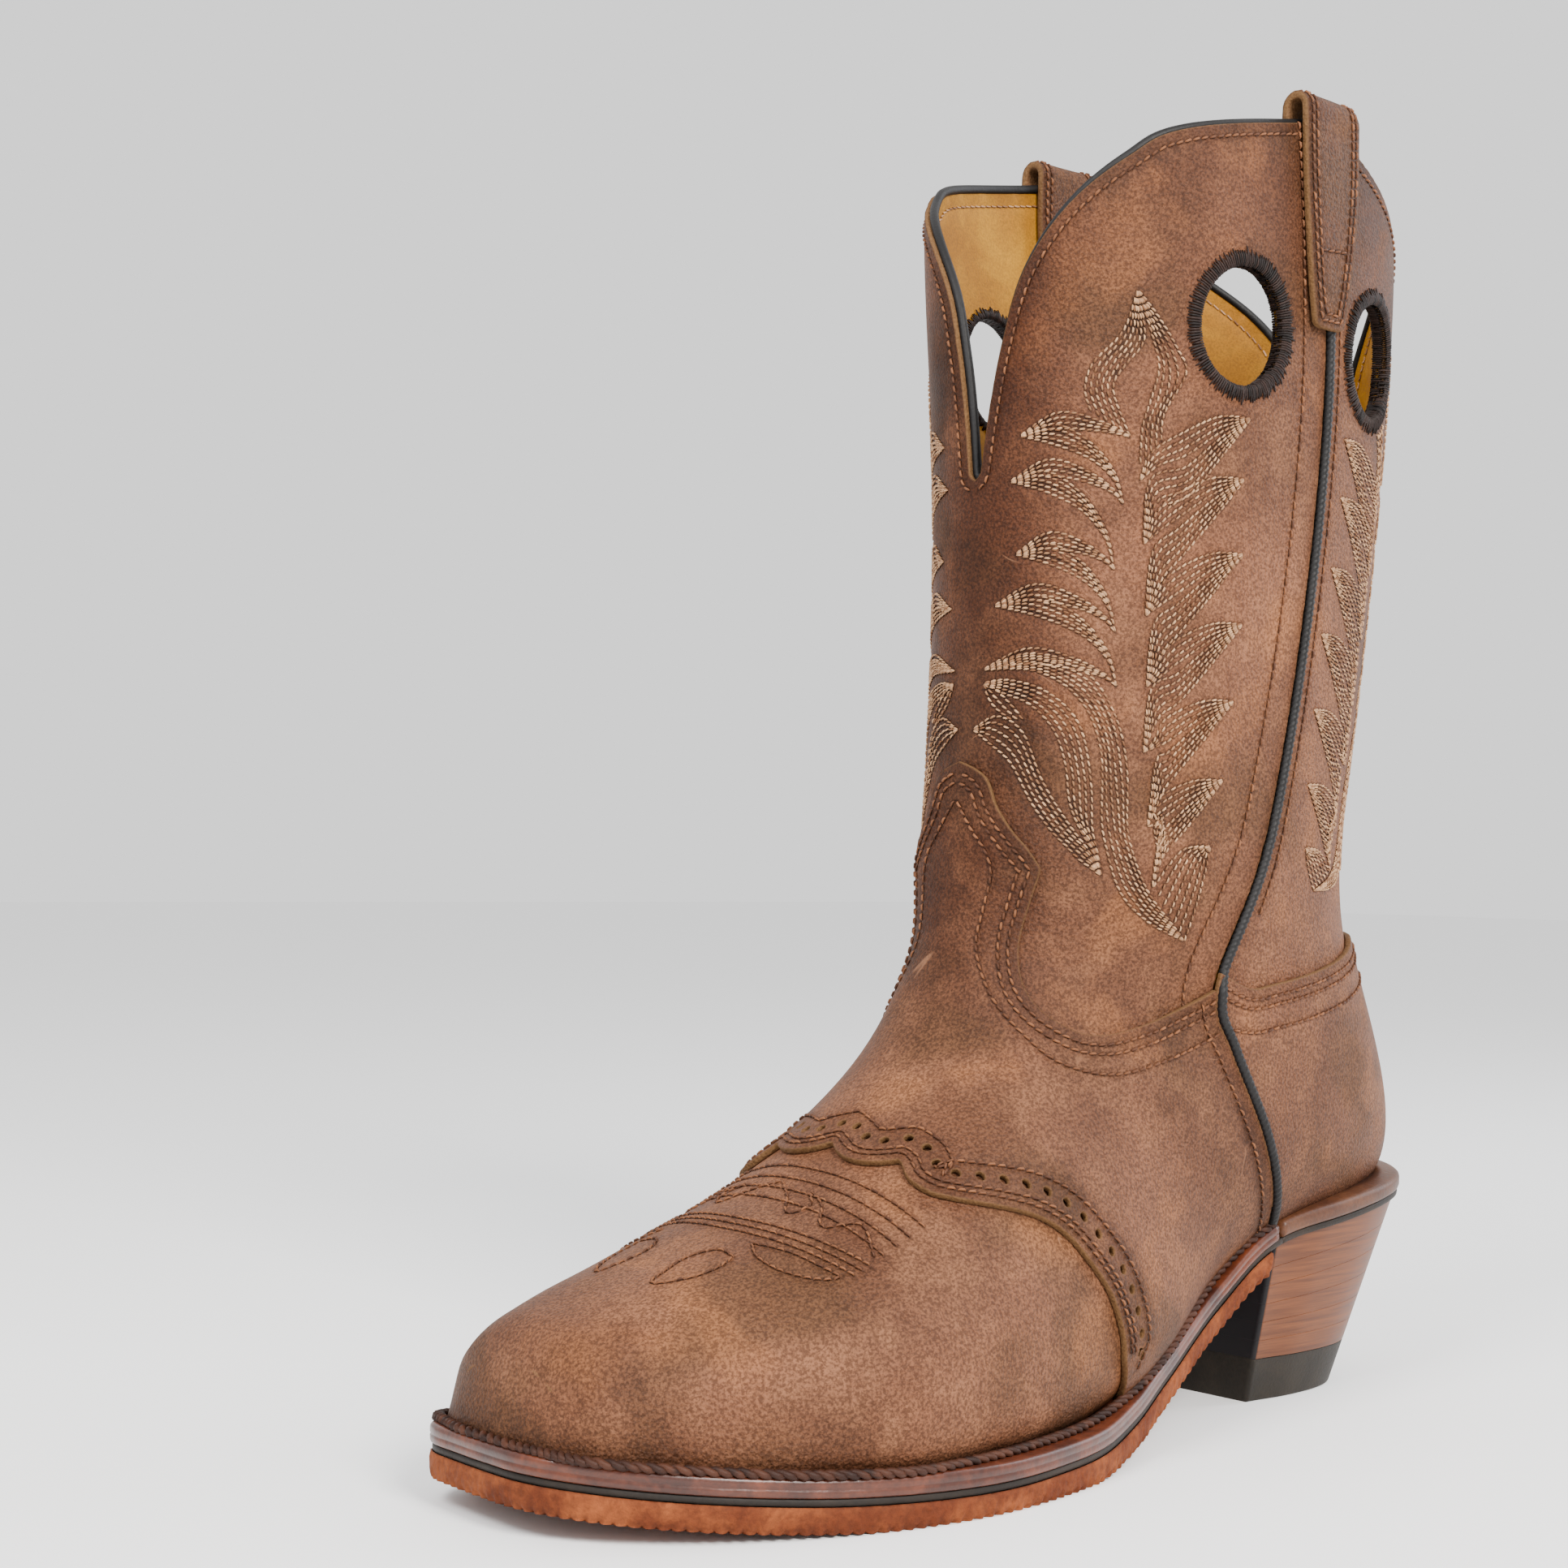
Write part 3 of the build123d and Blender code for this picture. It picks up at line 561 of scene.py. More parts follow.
def leather(name, chart, outline, top, bottom, material, slot_name, node, rows, holes=(), pitch=2.3,
            round_off=0.5, soften_past=None):
    """A cut piece of leather between two heights on the skin, with rounded edges and grooves on its rows."""
    up = math.copysign(1, top - bottom)
    loops = [turned(spaced_on(chart, outline, 1.4, closed=True), True)]
    loops += [turned(spaced_on(chart, hole, hole_pitch(hole), closed=True), False) for hole in holes]
    # the left of a line seen from outside is the leather's side
    left = 1 if not chart.flipped else -1
    trimmed = [beside(chart, loop, left * round_off, closed=True) for loop in loops]
    middles, flanks = groove_points(chart, rows)
    border = tree_of(np.vstack(trimmed))
    wanted = np.vstack([middles, flanks])
    wanted = wanted[inside(wanted, trimmed)]
    wanted = wanted[nearest(border, wanted) > 0.5]
    grid = filling(chart, trimmed, pitch, tree_of(np.vstack(trimmed + [wanted])), pitch * 0.55)
    flat, faces, ring_rows = triangulate(trimmed, np.vstack([wanted, grid]))
    to_edge = nearest(border, flat)
    seam = np.clip(1 - nearest(tree_of(middles), flat) / GROOVE, 0, 1)
    drop = -GROOVE_DEPTH * seam - EDGE_DROP * np.clip(1 - to_edge / 1.5, 0, 1)
    outer, _ = chart.surface(flat, top + up * drop)
    if soften_past is not None:
        outer = softened(outer, faces, soften_past)
    inner_loops = [beside(chart, loop, left * 0.5 * round_off, closed=True) for loop in loops]
    sparse = filling(chart, inner_loops, pitch * 3, tree_of(np.vstack(inner_loops)), pitch * 1.2)
    flat_in, faces_in, rows_in = triangulate(inner_loops, sparse)
    inner, _ = chart.surface(flat_in, bottom)
    # each layer: points, then how much of a seam, of an edge, of a cut face and of a rubbed and painted-shade
    # place they are
    layers = [(outer, seam, np.clip(1 - to_edge / 6, 0, 1), 0.0, rub_and_shade(chart, flat, outer))]
    rings = ((0.25, 0.3 * round_off), (0.0, round_off), (0.0, abs(top - bottom) - 0.6 * round_off))
    count = len(flat)
    inner_start = count + len(rings) * sum(len(loop) for loop in loops)
    strips = []
    for loop, previous, row_in in zip(loops, ring_rows, rows_in):
        for out, down in rings:
            line = beside(chart, loop, left * out * round_off, closed=True) if out else loop
            ragged = RNG.normal(0, 0.05, len(line))
            points, _ = chart.surface(line, top - up * (down + ragged))
            layers.append((points, 0.0, 1.0, 0.4 if out else 1.0, rub_and_shade(chart, line, points)))
            here = np.arange(count, count + len(line))
            strips.append(strip(previous, here))
            previous = here
            count += len(line)
        strips.append(strip(previous, row_in + inner_start))
    layers.append((inner, 0.0, 0.0, 0.6, 0.0))
    vertices = np.vstack([layer[0] for layer in layers])
    attributes = {}
    for k, label in enumerate(("seam", "edge", "cut", "rub_and_shade"), 1):
        attributes[label] = np.concatenate([np.broadcast_to(layer[k], len(layer[0])) for layer in layers])
    flip = (up < 0) != chart.flipped
    face_list = ordered(faces, flip)
    for block in strips + [faces_in + inner_start]:
        face_list += ordered(block, not flip)
    add_mesh(name, vertices, face_list, material, slot_name, [node], attributes)


def strip(first, second):
    """Quads between two closed rows of vertex numbers."""
    return np.column_stack([first, np.roll(first, -1), np.roll(second, -1), second])


def ordered(faces, flip):
    return (faces[:, ::-1] if flip else faces).tolist()


def hole_pitch(hole):
    """Point spacing that gives even a small hole about a dozen points."""
    return np.clip(np.ptp(hole, axis=0).max() * 0.26, 0.5, 1.2)


def softened(points, faces, limit):
    """The sheet's points smoothed where x is past a limit."""
    points = points.copy()
    edges = np.vstack([faces[:, [0, 1]], faces[:, [1, 2]], faces[:, [2, 0]]])
    edges = np.vstack([edges, edges[:, ::-1]])
    weight = np.clip((points[:, 0] - limit) / 4, 0, 1)[:, None] * 0.6
    border = boundary_points(faces, len(points))
    weight[border] = 0
    count = np.bincount(edges[:, 0], minlength=len(points))[:, None]
    for _ in range(40):
        total = np.zeros_like(points)
        np.add.at(total, edges[:, 0], points[edges[:, 1]])
        points += (total / np.maximum(count, 1) - points) * weight
    return points


def boundary_points(faces, count):
    """Which points lie on an edge that only one face has."""
    edges = np.sort(np.vstack([faces[:, [0, 1]], faces[:, [1, 2]], faces[:, [2, 0]]]), axis=1)
    keys, times = np.unique(edges[:, 0] * count + edges[:, 1], return_counts=True)
    single = keys[times == 1]
    mask = np.zeros(count, bool)
    mask[single // count] = True
    mask[single % count] = True
    return mask


def threads(name, chart, rows, height, material, pitch, radius, sides=5):
    """Rows of stitches: each one a short bowed length of thread that dips into the leather at both ends."""
    ends = {0.10: [], 0.90: []}
    ups = {0.10: [], 0.90: []}
    for row in rows:
        points, normal = chart.surface(spaced(row, 0.8), height)
        length = arc_lengths(points)
        count = max(1, int(length[-1] / pitch))
        step = length[-1] / count
        for share in ends:
            at = (np.arange(count) + share) * step
            ends[share].append(np.column_stack([np.interp(at, length, c) for c in points.T]))
            ups[share].append(np.column_stack([np.interp(at, length, c) for c in normal.T]))
    p, q = (np.vstack(places) for places in ends.values())
    up = unit(sum(np.vstack(normal) for normal in ups.values()))
    across = np.cross(up, unit(q - p))
    slant = across * 0.13
    p, q = p - slant, q + slant
    spin = np.arange(sides) / sides * 2 * math.pi
    circle = np.cos(spin)[None, :, None] * across[:, None] + np.sin(spin)[None, :, None] * up[:, None]
    size = radius * RNG.uniform(0.9, 1.1, len(p))[:, None, None]
    shape = ((0.0, -0.25, 0.55), (0.22, 0.16, 1.0), (0.78, 0.16, 1.0), (1.0, -0.25, 0.55))
    rings = []
    for along, lift, thick in shape:
        centre = p + (q - p) * along + up * lift
        rings.append(centre[:, None] + circle * size * thick)
    vertices = np.stack(rings, 1).reshape(-1, 3)
    block = len(shape) * sides
    base = np.arange(len(p))[:, None, None] * block
    sleeve = band(len(shape), sides)[:, [0, 3, 2, 1]]
    faces = (sleeve[None] + base).reshape(-1, 4).tolist()
    caps = np.array([range(sides)[::-1], range(block - sides, block)])
    faces += (caps[None] + base).reshape(-1, sides).tolist()
    tone = np.repeat(RNG.uniform(0, 1, len(p)), block)
    add_mesh(name, vertices, faces, material, "thread", (), {"tone": tone})


def band(rows, around):
    """Quads between rows of points, each row a closed ring."""
    k, j = np.arange(rows - 1)[:, None], np.arange(around)[None]
    a, b = k * around + j, k * around + (j + 1) % around
    return np.stack([a, a + around, b + around, b], -1).reshape(-1, 4)


def tube(points, up, radius, sides=8, lobes=0, twist=0.0, depth=0.0):
    """A cord's mesh along points: (vertices, faces). Lobes twist round it where it is laid from strands."""
    run = unit(np.gradient(points, axis=0))
    across = unit(np.cross(up, run))
    up = np.cross(run, across)
    spin = np.arange(sides) / sides * 2 * math.pi
    reach = np.full((len(points), sides), 1.0)
    if lobes:
        reach += depth * np.cos(lobes * spin[None] - arc_lengths(points)[:, None] * twist)
    radius = np.broadcast_to(radius, len(points))
    ring = np.cos(spin)[None, :, None] * across[:, None] + np.sin(spin)[None, :, None] * up[:, None]
    vertices = points[:, None] + ring * (reach * radius[:, None])[..., None]
    faces = band(len(points), sides)[:, ::-1].tolist()
    faces += [list(range(sides))[::-1], list(range((len(points) - 1) * sides, len(points) * sides))]
    return vertices.reshape(-1, 3), faces


def joined(parts):
    """One mesh from several (vertices, faces)."""
    vertices, faces, start = [], [], 0
    for points, polygons in parts:
        vertices.append(points)
        faces += [[start + k for k in polygon] for polygon in polygons]
        start += len(points)
    return np.vstack(vertices), faces


# ================================================================ materials
def node_material(name):
    material = bpy.data.materials.new(name)
    material.use_nodes = True
    tree = material.node_tree
    shader = tree.nodes["Principled BSDF"]
    return material, tree, shader


def add_node(tree, kind, **settings):
    node = tree.nodes.new(kind)
    for key, value in settings.items():
        if key in node.inputs:
            node.inputs[key].default_value = value
        else:
            setattr(node, key, value)
    return node


def noise(tree, scale, detail=4.0, roughness=0.55, distortion=0.0, stretch=None):
    """Noise in object space, scale in features per metre."""
    place = tree.nodes.new("ShaderNodeTexCoord").outputs["Object"]
    if stretch:
        mapping = tree.nodes.new("ShaderNodeMapping")
        mapping.inputs["Scale"].default_value = stretch
        tree.links.new(place, mapping.inputs["Vector"])
        place = mapping.outputs["Vector"]
    node = add_node(tree, "ShaderNodeTexNoise", Scale=scale, Detail=detail, Roughness=roughness,
                    Distortion=distortion)
    tree.links.new(place, node.inputs["Vector"])
    return node.outputs["Fac"]


def ramp(tree, source, low, high, start=0.0, end=1.0):
    """A smooth step of a value between two limits."""
    node = add_node(tree, "ShaderNodeMapRange", interpolation_type="SMOOTHSTEP")
    node.inputs["From Min"].default_value = low
    node.inputs["From Max"].default_value = high
    node.inputs["To Min"].default_value = start
    node.inputs["To Max"].default_value = end
    tree.links.new(source, node.inputs["Value"])
    return node.outputs["Result"]


def calc(tree, operation, first, second):
    node = add_node(tree, "ShaderNodeMath", operation=operation)
    for k, value in enumerate((first, second)):
        if isinstance(value, (int, float)):
            node.inputs[k].default_value = value
        else:
            tree.links.new(value, node.inputs[k])
    return node.outputs[0]


def blend(tree, factor, first, second, mode="MIX"):
    """Colour mix; each input is a socket or an RGB triple."""
    node = add_node(tree, "ShaderNodeMix", data_type="RGBA", blend_type=mode)
    for socket, value in ((node.inputs[0], factor), (node.inputs[6], first), (node.inputs[7], second)):
        if isinstance(value, (int, float)):
            socket.default_value = value
        elif isinstance(value, tuple):
            socket.default_value = (*value, 1)
        else:
            tree.links.new(value, socket)
    return node.outputs[2]


def attribute(tree, name):
    node = tree.nodes.new("ShaderNodeAttribute")
    node.attribute_name = name
    return node.outputs["Fac"]


def bump(tree, shader, heights, distance=0.001):
    """Chained bumps from (height, strength) pairs."""
    previous = None
    for height, strength in heights:
        node = add_node(tree, "ShaderNodeBump", Strength=strength, Distance=distance)
        tree.links.new(height, node.inputs["Height"])
        if previous is not None:
            tree.links.new(previous, node.inputs["Normal"])
        previous = node.outputs["Normal"]
    tree.links.new(previous, shader.inputs["Normal"])


def distressed_leather(name, dark, warm, pale, shift=0.0):
    """Oiled pull-up leather: clouds of browns, pale scratches, fine pebble, darker along stitches, and a
    darkening that is partly rubbed leather, partly painted shade.
    """
    material, tree, shader = node_material(name)
    clouds = ramp(tree, noise(tree, 15, 3.0, 0.5, 0.25), 0.30 + shift, 0.66 + shift)
    patches = ramp(tree, noise(tree, 55, 5.0, 0.6, 0.4), 0.42, 0.70)
    colour = blend(tree, clouds, blend(tree, 0.55, warm, dark), warm)
    colour = blend(tree, calc(tree, "MULTIPLY", patches, 0.30), colour, pale)
    stain = ramp(tree, noise(tree, 24, 4.0, 0.55, 0.5), 0.56, 0.74)
    colour = blend(tree, calc(tree, "MULTIPLY", stain, 0.55), colour, dark)
    olive = ramp(tree, noise(tree, 20, 3.0, 0.5, 0.4), 0.48, 0.64)
    colour = blend(tree, calc(tree, "MULTIPLY", olive, 0.6), colour, (0.058, 0.0255, 0.0100))
    tan = ramp(tree, noise(tree, 31, 3.0, 0.5, 0.3), 0.54, 0.68)
    colour = blend(tree, calc(tree, "MULTIPLY", tan, 0.45), colour, (0.215, 0.0830, 0.0320))
    # rubbed leather and painted shade, from the darkening attribute of each piece, multiplied into the colour
    uneven = ramp(tree, noise(tree, 38, 4.0, 0.6, 0.5), 0.22, 0.62, 0.45, 1.0)
    rubbed_and_shaded = calc(tree, "MULTIPLY", attribute(tree, "rub_and_shade"), uneven)
    colour = blend(tree, rubbed_and_shaded, colour, (0.28, 0.20, 0.14), "MULTIPLY")
    speck = ramp(tree, noise(tree, 1300, 2.0, 0.7), 0.36, 0.66)
    colour = blend(tree, 0.65, colour, blend(tree, speck, (0.34, 0.30, 0.26), (1.5, 1.5, 1.5)), "MULTIPLY")
    line = calc(tree, "ABSOLUTE", calc(tree, "SUBTRACT", noise(tree, 34, 1.5, 0.4, 1.0), 0.5), 0.0)
    where = ramp(tree, noise(tree, 48, 2.0, 0.5), 0.60, 0.72)
    scratch = calc(tree, "MULTIPLY", ramp(tree, line, 0.0, 0.0035, 1.0, 0.0), where)
    colour = blend(tree, calc(tree, "MULTIPLY", scratch, 0.55), colour, pale)
    colour = blend(tree, calc(tree, "MULTIPLY", attribute(tree, "seam"), 0.6), colour,
                   (0.008, 0.003, 0.0015))
    colour = blend(tree, calc(tree, "MULTIPLY", attribute(tree, "edge"), 0.35), colour, dark)
    cut = attribute(tree, "cut")
    fibre = blend(tree, noise(tree, 1400, 3.0, 0.7), (0.045, 0.020, 0.008), (0.20, 0.105, 0.042))
    colour = blend(tree, calc(tree, "MULTIPLY", cut, 0.9), colour, fibre)
    tree.links.new(colour, shader.inputs["Base Color"])
    rough = calc(tree, "ADD", 0.50, calc(tree, "MULTIPLY", patches, 0.16))
    rough = calc(tree, "ADD", rough, calc(tree, "MULTIPLY", cut, 0.2))
    tree.links.new(rough, shader.inputs["Roughness"])
    shader.inputs["Specular IOR Level"].default_value = 0.12
    pebble = add_node(tree, "ShaderNodeTexVoronoi", Scale=1150)
    place = tree.nodes.new("ShaderNodeTexCoord").outputs["Object"]
    tree.links.new(place, pebble.inputs["Vector"])
    grain = noise(tree, 2300, 3.0, 0.6)
    creases = noise(tree, 170, 4.0, 0.6, 0.8)
    heights = [(creases, 0.22), (pebble.outputs["Distance"], 0.42), (grain, 0.40), (scratch, 0.15)]
    bump(tree, shader, heights, 0.0006)
    return material


def plain_leather(name, base, dark, rough, grain_scale, gloss=0.5, coat=0.0, strength=0.25,
                  patch_scale=40):
    """Smooth leather, board or rubber: soft patches, spots and a fine grain."""
    material, tree, shader = node_material(name)
    patches = ramp(tree, noise(tree, patch_scale, 4.0, 0.6, 0.4), 0.35, 0.70)
    colour = blend(tree, patches, dark, base)
    fine = noise(tree, grain_scale, 3.0, 0.65)
    tone = blend(tree, ramp(tree, fine, 0.3, 0.7), (0.72, 0.72, 0.72), (1.18, 1.18, 1.18))
    colour = blend(tree, 0.8, colour, tone, "MULTIPLY")
    spots = ramp(tree, noise(tree, 420, 2.0, 0.6), 0.66, 0.74)
    colour = blend(tree, calc(tree, "MULTIPLY", spots, 0.3), colour, dark)
    colour = blend(tree, calc(tree, "MULTIPLY", attribute(tree, "seam"), 0.5), colour, dark)
    tree.links.new(colour, shader.inputs["Base Color"])
    roughness = calc(tree, "ADD", rough, calc(tree, "MULTIPLY", fine, 0.15))
    tree.links.new(roughness, shader.inputs["Roughness"])
    shader.inputs["Specular IOR Level"].default_value = gloss
    shader.inputs["Coat Weight"].default_value = coat
    shader.inputs["Coat Roughness"].default_value = 0.25
    bump(tree, shader, [(fine, strength), (patches, 0.05)], 0.0005)
    return material


def thread_material(name, base, dark):
    """Bonded thread: each stitch its own tone, with the twist of its plies."""
    material, tree, shader = node_material(name)
    colour = blend(tree, attribute(tree, "tone"), dark, base)
    plies = noise(tree, 2600, 2.0, 0.6)
    colour = blend(tree, 0.6, colour, blend(tree, plies, (0.55, 0.55, 0.55), (1.3, 1.3, 1.3)), "MULTIPLY")
    tree.links.new(colour, shader.inputs["Base Color"])
    rough = calc(tree, "ADD", 0.45, calc(tree, "MULTIPLY", plies, 0.25))
    tree.links.new(rough, shader.inputs["Roughness"])
    shader.inputs["Specular IOR Level"].default_value = 0.2
    bump(tree, shader, [(plies, 0.35)], 0.0003)
    return material


def heel_material():
    """Stacked leather with a waxed edge: fine level striations, and a blackened breast."""
    material, tree, shader = node_material("stacked_leather")
    streaks = noise(tree, 60, 6.0, 0.7, 0.3, (0.5, 0.5, 16))
    broad = noise(tree, 24, 3.0, 0.5, 0.3, (1, 1, 3))
    colour = blend(tree, ramp(tree, streaks, 0.3, 0.7), (0.070, 0.0190, 0.0052), (0.145, 0.044, 0.0120))
    warmer = calc(tree, "MULTIPLY", ramp(tree, broad, 0.5, 0.7), 0.4)
    colour = blend(tree, warmer, colour, (0.10, 0.030, 0.010))
    black = ramp(tree, attribute(tree, "breast"), 0.2, 0.9)
    colour = blend(tree, black, colour, (0.006, 0.005, 0.006))
    tree.links.new(colour, shader.inputs["Base Color"])
    rough = calc(tree, "ADD", 0.34, calc(tree, "MULTIPLY", streaks, 0.2))
    tree.links.new(rough, shader.inputs["Roughness"])
    shader.inputs["Specular IOR Level"].default_value = 0.28
    bump(tree, shader, [(streaks, 0.10)], 0.0002)
    return material


LEATHER_LOOK = distressed_leather(
    "oiled_leather", (0.022, 0.0075, 0.0032), (0.145, 0.0580, 0.0285), (0.26, 0.120, 0.062))
STRAP_LOOK = distressed_leather(
    "strap_leather", (0.026, 0.010, 0.0048), (0.095, 0.036, 0.0155), (0.20, 0.092, 0.045), 0.05)
LINING_LOOK = plain_leather("mustard_lining", (0.36, 0.165, 0.008), (0.24, 0.095, 0.004), 0.6, 1500,
                            gloss=0.2)
BEAD_LOOK = plain_leather("black_cord", (0.007, 0.006, 0.006), (0.003, 0.0025, 0.0025), 0.45, 1200,
                          gloss=0.25)
HOLE_THREAD = thread_material("overlock_thread", (0.022, 0.0105, 0.0075), (0.0035, 0.0018, 0.0014))
PALE_THREAD = thread_material("cream_thread", (0.46, 0.27, 0.145), (0.15, 0.062, 0.026))
BROWN_THREAD = thread_material("tan_thread", (0.185, 0.070, 0.028), (0.050, 0.017, 0.0070))
WELT_THREAD = thread_material("welt_thread", (0.055, 0.018, 0.0085), (0.014, 0.0045, 0.0025))
WELT_LOOK = plain_leather("burnished_welt", (0.100, 0.022, 0.0070), (0.036, 0.0075, 0.0028), 0.30, 700,
                          gloss=0.35, coat=0.25, strength=0.2, patch_scale=90)
RAND_LOOK = plain_leather("heel_rand_leather", (0.105, 0.037, 0.0130), (0.055, 0.017, 0.0060), 0.42, 900,
                          gloss=0.3, coat=0.1)
MIDSOLE_LOOK = plain_leather("midsole_edge", (0.022, 0.014, 0.009), (0.009, 0.006, 0.004), 0.5, 900,
                             gloss=0.25)
OUTSOLE_LOOK = plain_leather("rough_outsole", (0.21, 0.056, 0.0165), (0.090, 0.020, 0.0062), 0.7, 620,
                             gloss=0.15, strength=0.9, patch_scale=70)
CAP_LOOK = plain_leather("heel_rubber", (0.020, 0.0145, 0.0090), (0.010, 0.0075, 0.0050), 0.5, 1100,
                         gloss=0.25)
CORK_LOOK = plain_leather("cork_paste", (0.42, 0.26, 0.14), (0.20, 0.11, 0.05), 0.8, 500, gloss=0.3)
INSOLE_LOOK = plain_leather("insole_board", (0.55, 0.38, 0.22), (0.42, 0.27, 0.15), 0.6, 900)
FELT_LOOK = plain_leather("stiffener_board", (0.50, 0.44, 0.35), (0.36, 0.30, 0.24), 0.85, 1300)


def steel_material():
    """Steel brushed along its length, for the shank and the nails."""
    material, tree, shader = node_material("bare_steel")
    brushed = noise(tree, 300, 4.0, 0.6, 0.0, (1, 12, 1))
    tree.links.new(blend(tree, brushed, (0.35, 0.35, 0.36), (0.62, 0.62, 0.63)),
                   shader.inputs["Base Color"])
    tree.links.new(ramp(tree, brushed, 0.2, 0.8, 0.25, 0.5), shader.inputs["Roughness"])
    shader.inputs["Metallic"].default_value = 1.0
    bump(tree, shader, [(brushed, 0.1)], 0.0002)
    return material


STEEL_LOOK = steel_material()
HEEL_LOOK = heel_material()

CAD_LOOKS = {
    "insole": INSOLE_LOOK, "cork_filler": CORK_LOOK,
    "shank": STEEL_LOOK, "heel_nails": STEEL_LOOK, "cap_nails": STEEL_LOOK,
    "counter_stiffener": FELT_LOOK, "vamp_lining": LINING_LOOK, "counter_lining": LINING_LOOK,
}
# inner pieces that stay as the CAD made them, and only take a look
for node_name, look in CAD_LOOKS.items():
    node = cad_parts[node_name]
    for holder in node.material_slots:
        holder.material = look
    if not node.material_slots:
        node.data.materials.append(look)


# ================================================================ shaft
PIPING_GAP = 1.6
BEAD_GAP = 1.8
PANEL_LOW_T = 74.0  # the panels end here in their charts, under the leathers of the foot
TUCK = [0.83, 0.9]  # how far in and down the front panel goes on under the saddle, as shares
SEAM_ROW = {"front": 9.5, "back": 3.2}  # distance of the row beside a side seam
HOLE_MARGIN = 4.8  # rows stop this far from a pull hole
HOLES = {"front": (FRONT, HOLE_FRONT_X), "back": (BACK, HOLE_BACK_X)}


def hole_outline(chart, x, side):
    """The edge of a pull hole in a chart."""
    turns = np.arange(64) / 64 * 2 * math.pi
    points = np.column_stack([x + HOLE_WIDTH / 2 * np.cos(turns),
                              HOLE_Z + HOLE_HEIGHT / 2 * np.sin(turns)])
    return chart.locate(points, SIDE_VIEW, side, (2.2, 3.0))


def toward_middle(chart, line, distance):
    """The line moved sideways, to whichever side is nearer the middle line."""
    moved = beside(chart, line, distance), beside(chart, line, -distance)
    return min(moved, key=lambda one: abs(one[len(one) // 2, 0]))


def seam_edge(chart, side, low, high, gap):
    """The side seam with its gap, from the top down, on this chart's side of it."""
    return toward_middle(chart, seam_line(chart, side, low, high), gap)


def shaft_outline(chart, inset, gap):
    """Outline of a shaft panel, and its top and seam edges by side. It ends under the foot's leathers."""
    lateral_top = topline(chart)
    tops, seams = {}, {}
    for side in (1, -1):
        seam = seam_edge(chart, side, 60, SEAM_TOP_Z, gap)
        seam = seam[seam[:, 1] > PANEL_LOW_T]
        if not chart.back:
            seam = np.vstack([seam, seam[-1] * TUCK])
        top = lateral_top * [side, 1]
        widening = abs(seam[0, 0] / lateral_top[-1, 0]) - 1
        top[:, 0] *= np.where(top[:, 1] > 320, 1 + widening * (top[:, 1] - 320) / (SEAM_TOP_Z - 320), 1)
        moved = beside(chart, top, inset), beside(chart, top, -inset)
        top = min(moved, key=lambda one: one[len(one) // 2, 1])
        top[0, 0] = 0
        tops[side] = top[np.abs(top[:, 0]) < abs(seam[0, 0]) + 0.01]
        seams[side] = seam[seam[:, 1] < tops[side][-1, 1] + 0.01]
    outline = np.vstack([tops[1], seams[1], seams[-1][::-1], tops[-1][::-1][:-1]])
    return outline, tops, seams


# one half of the flame on a shaft panel, lateral side: (distance from the middle line, height)
FLAME_BOTTOM = (64.5, 136.7)
LEFT_TIPS = [(14, 252.8), (11.5, 241.5), (13.4, 223.3), (7.9, 210.6), (5.4, 194.2)]
LEFT_ROOTS = [(41.9, 252.5), (40.4, 235.8), (38.5, 219.4), (39.2, 203.8), (40.2, 189.9)]
RIGHT_TIPS = [(77.3, 260), (75.6, 244.5), (75.9, 225.5), (76.6, 207.7), (74.9, 187.7), (72.7, 167.6),
              (69.8, 150.8)]
RIGHT_ROOTS = [(44.7, 242), (46, 226.2), (47.1, 208.4), (48.1, 190.2), (48.1, 173.8), (50.5, 156),
               (53, 143.5)]
ROWS_IN_LEAF = 8


def between(first, second, count):
    """Curves that lead from one control polygon to the other."""
    first, second = np.array(first, float), np.array(second, float)
    return [smooth(first + (second - first) * k / (count - 1), 10) for k in range(count)]


def arched(tip, root, bulge, sag):
    """Control points of a curved edge from a tip to a root: lifted by the bulge, moved in at the root."""
    (a0, t0), (a1, t1) = tip, root
    return [tip, (a0 + (a1 - a0) * 0.35, t0 + (t1 - t0) * 0.06 + bulge),
            (a0 + (a1 - a0) * 0.70, t0 + (t1 - t0) * 0.30 + bulge * 0.75 - sag * 0.2),
            (a0 + (a1 - a0) * 0.92, t0 + (t1 - t0) * 0.64 + bulge * 0.35 - sag * 0.3), root]


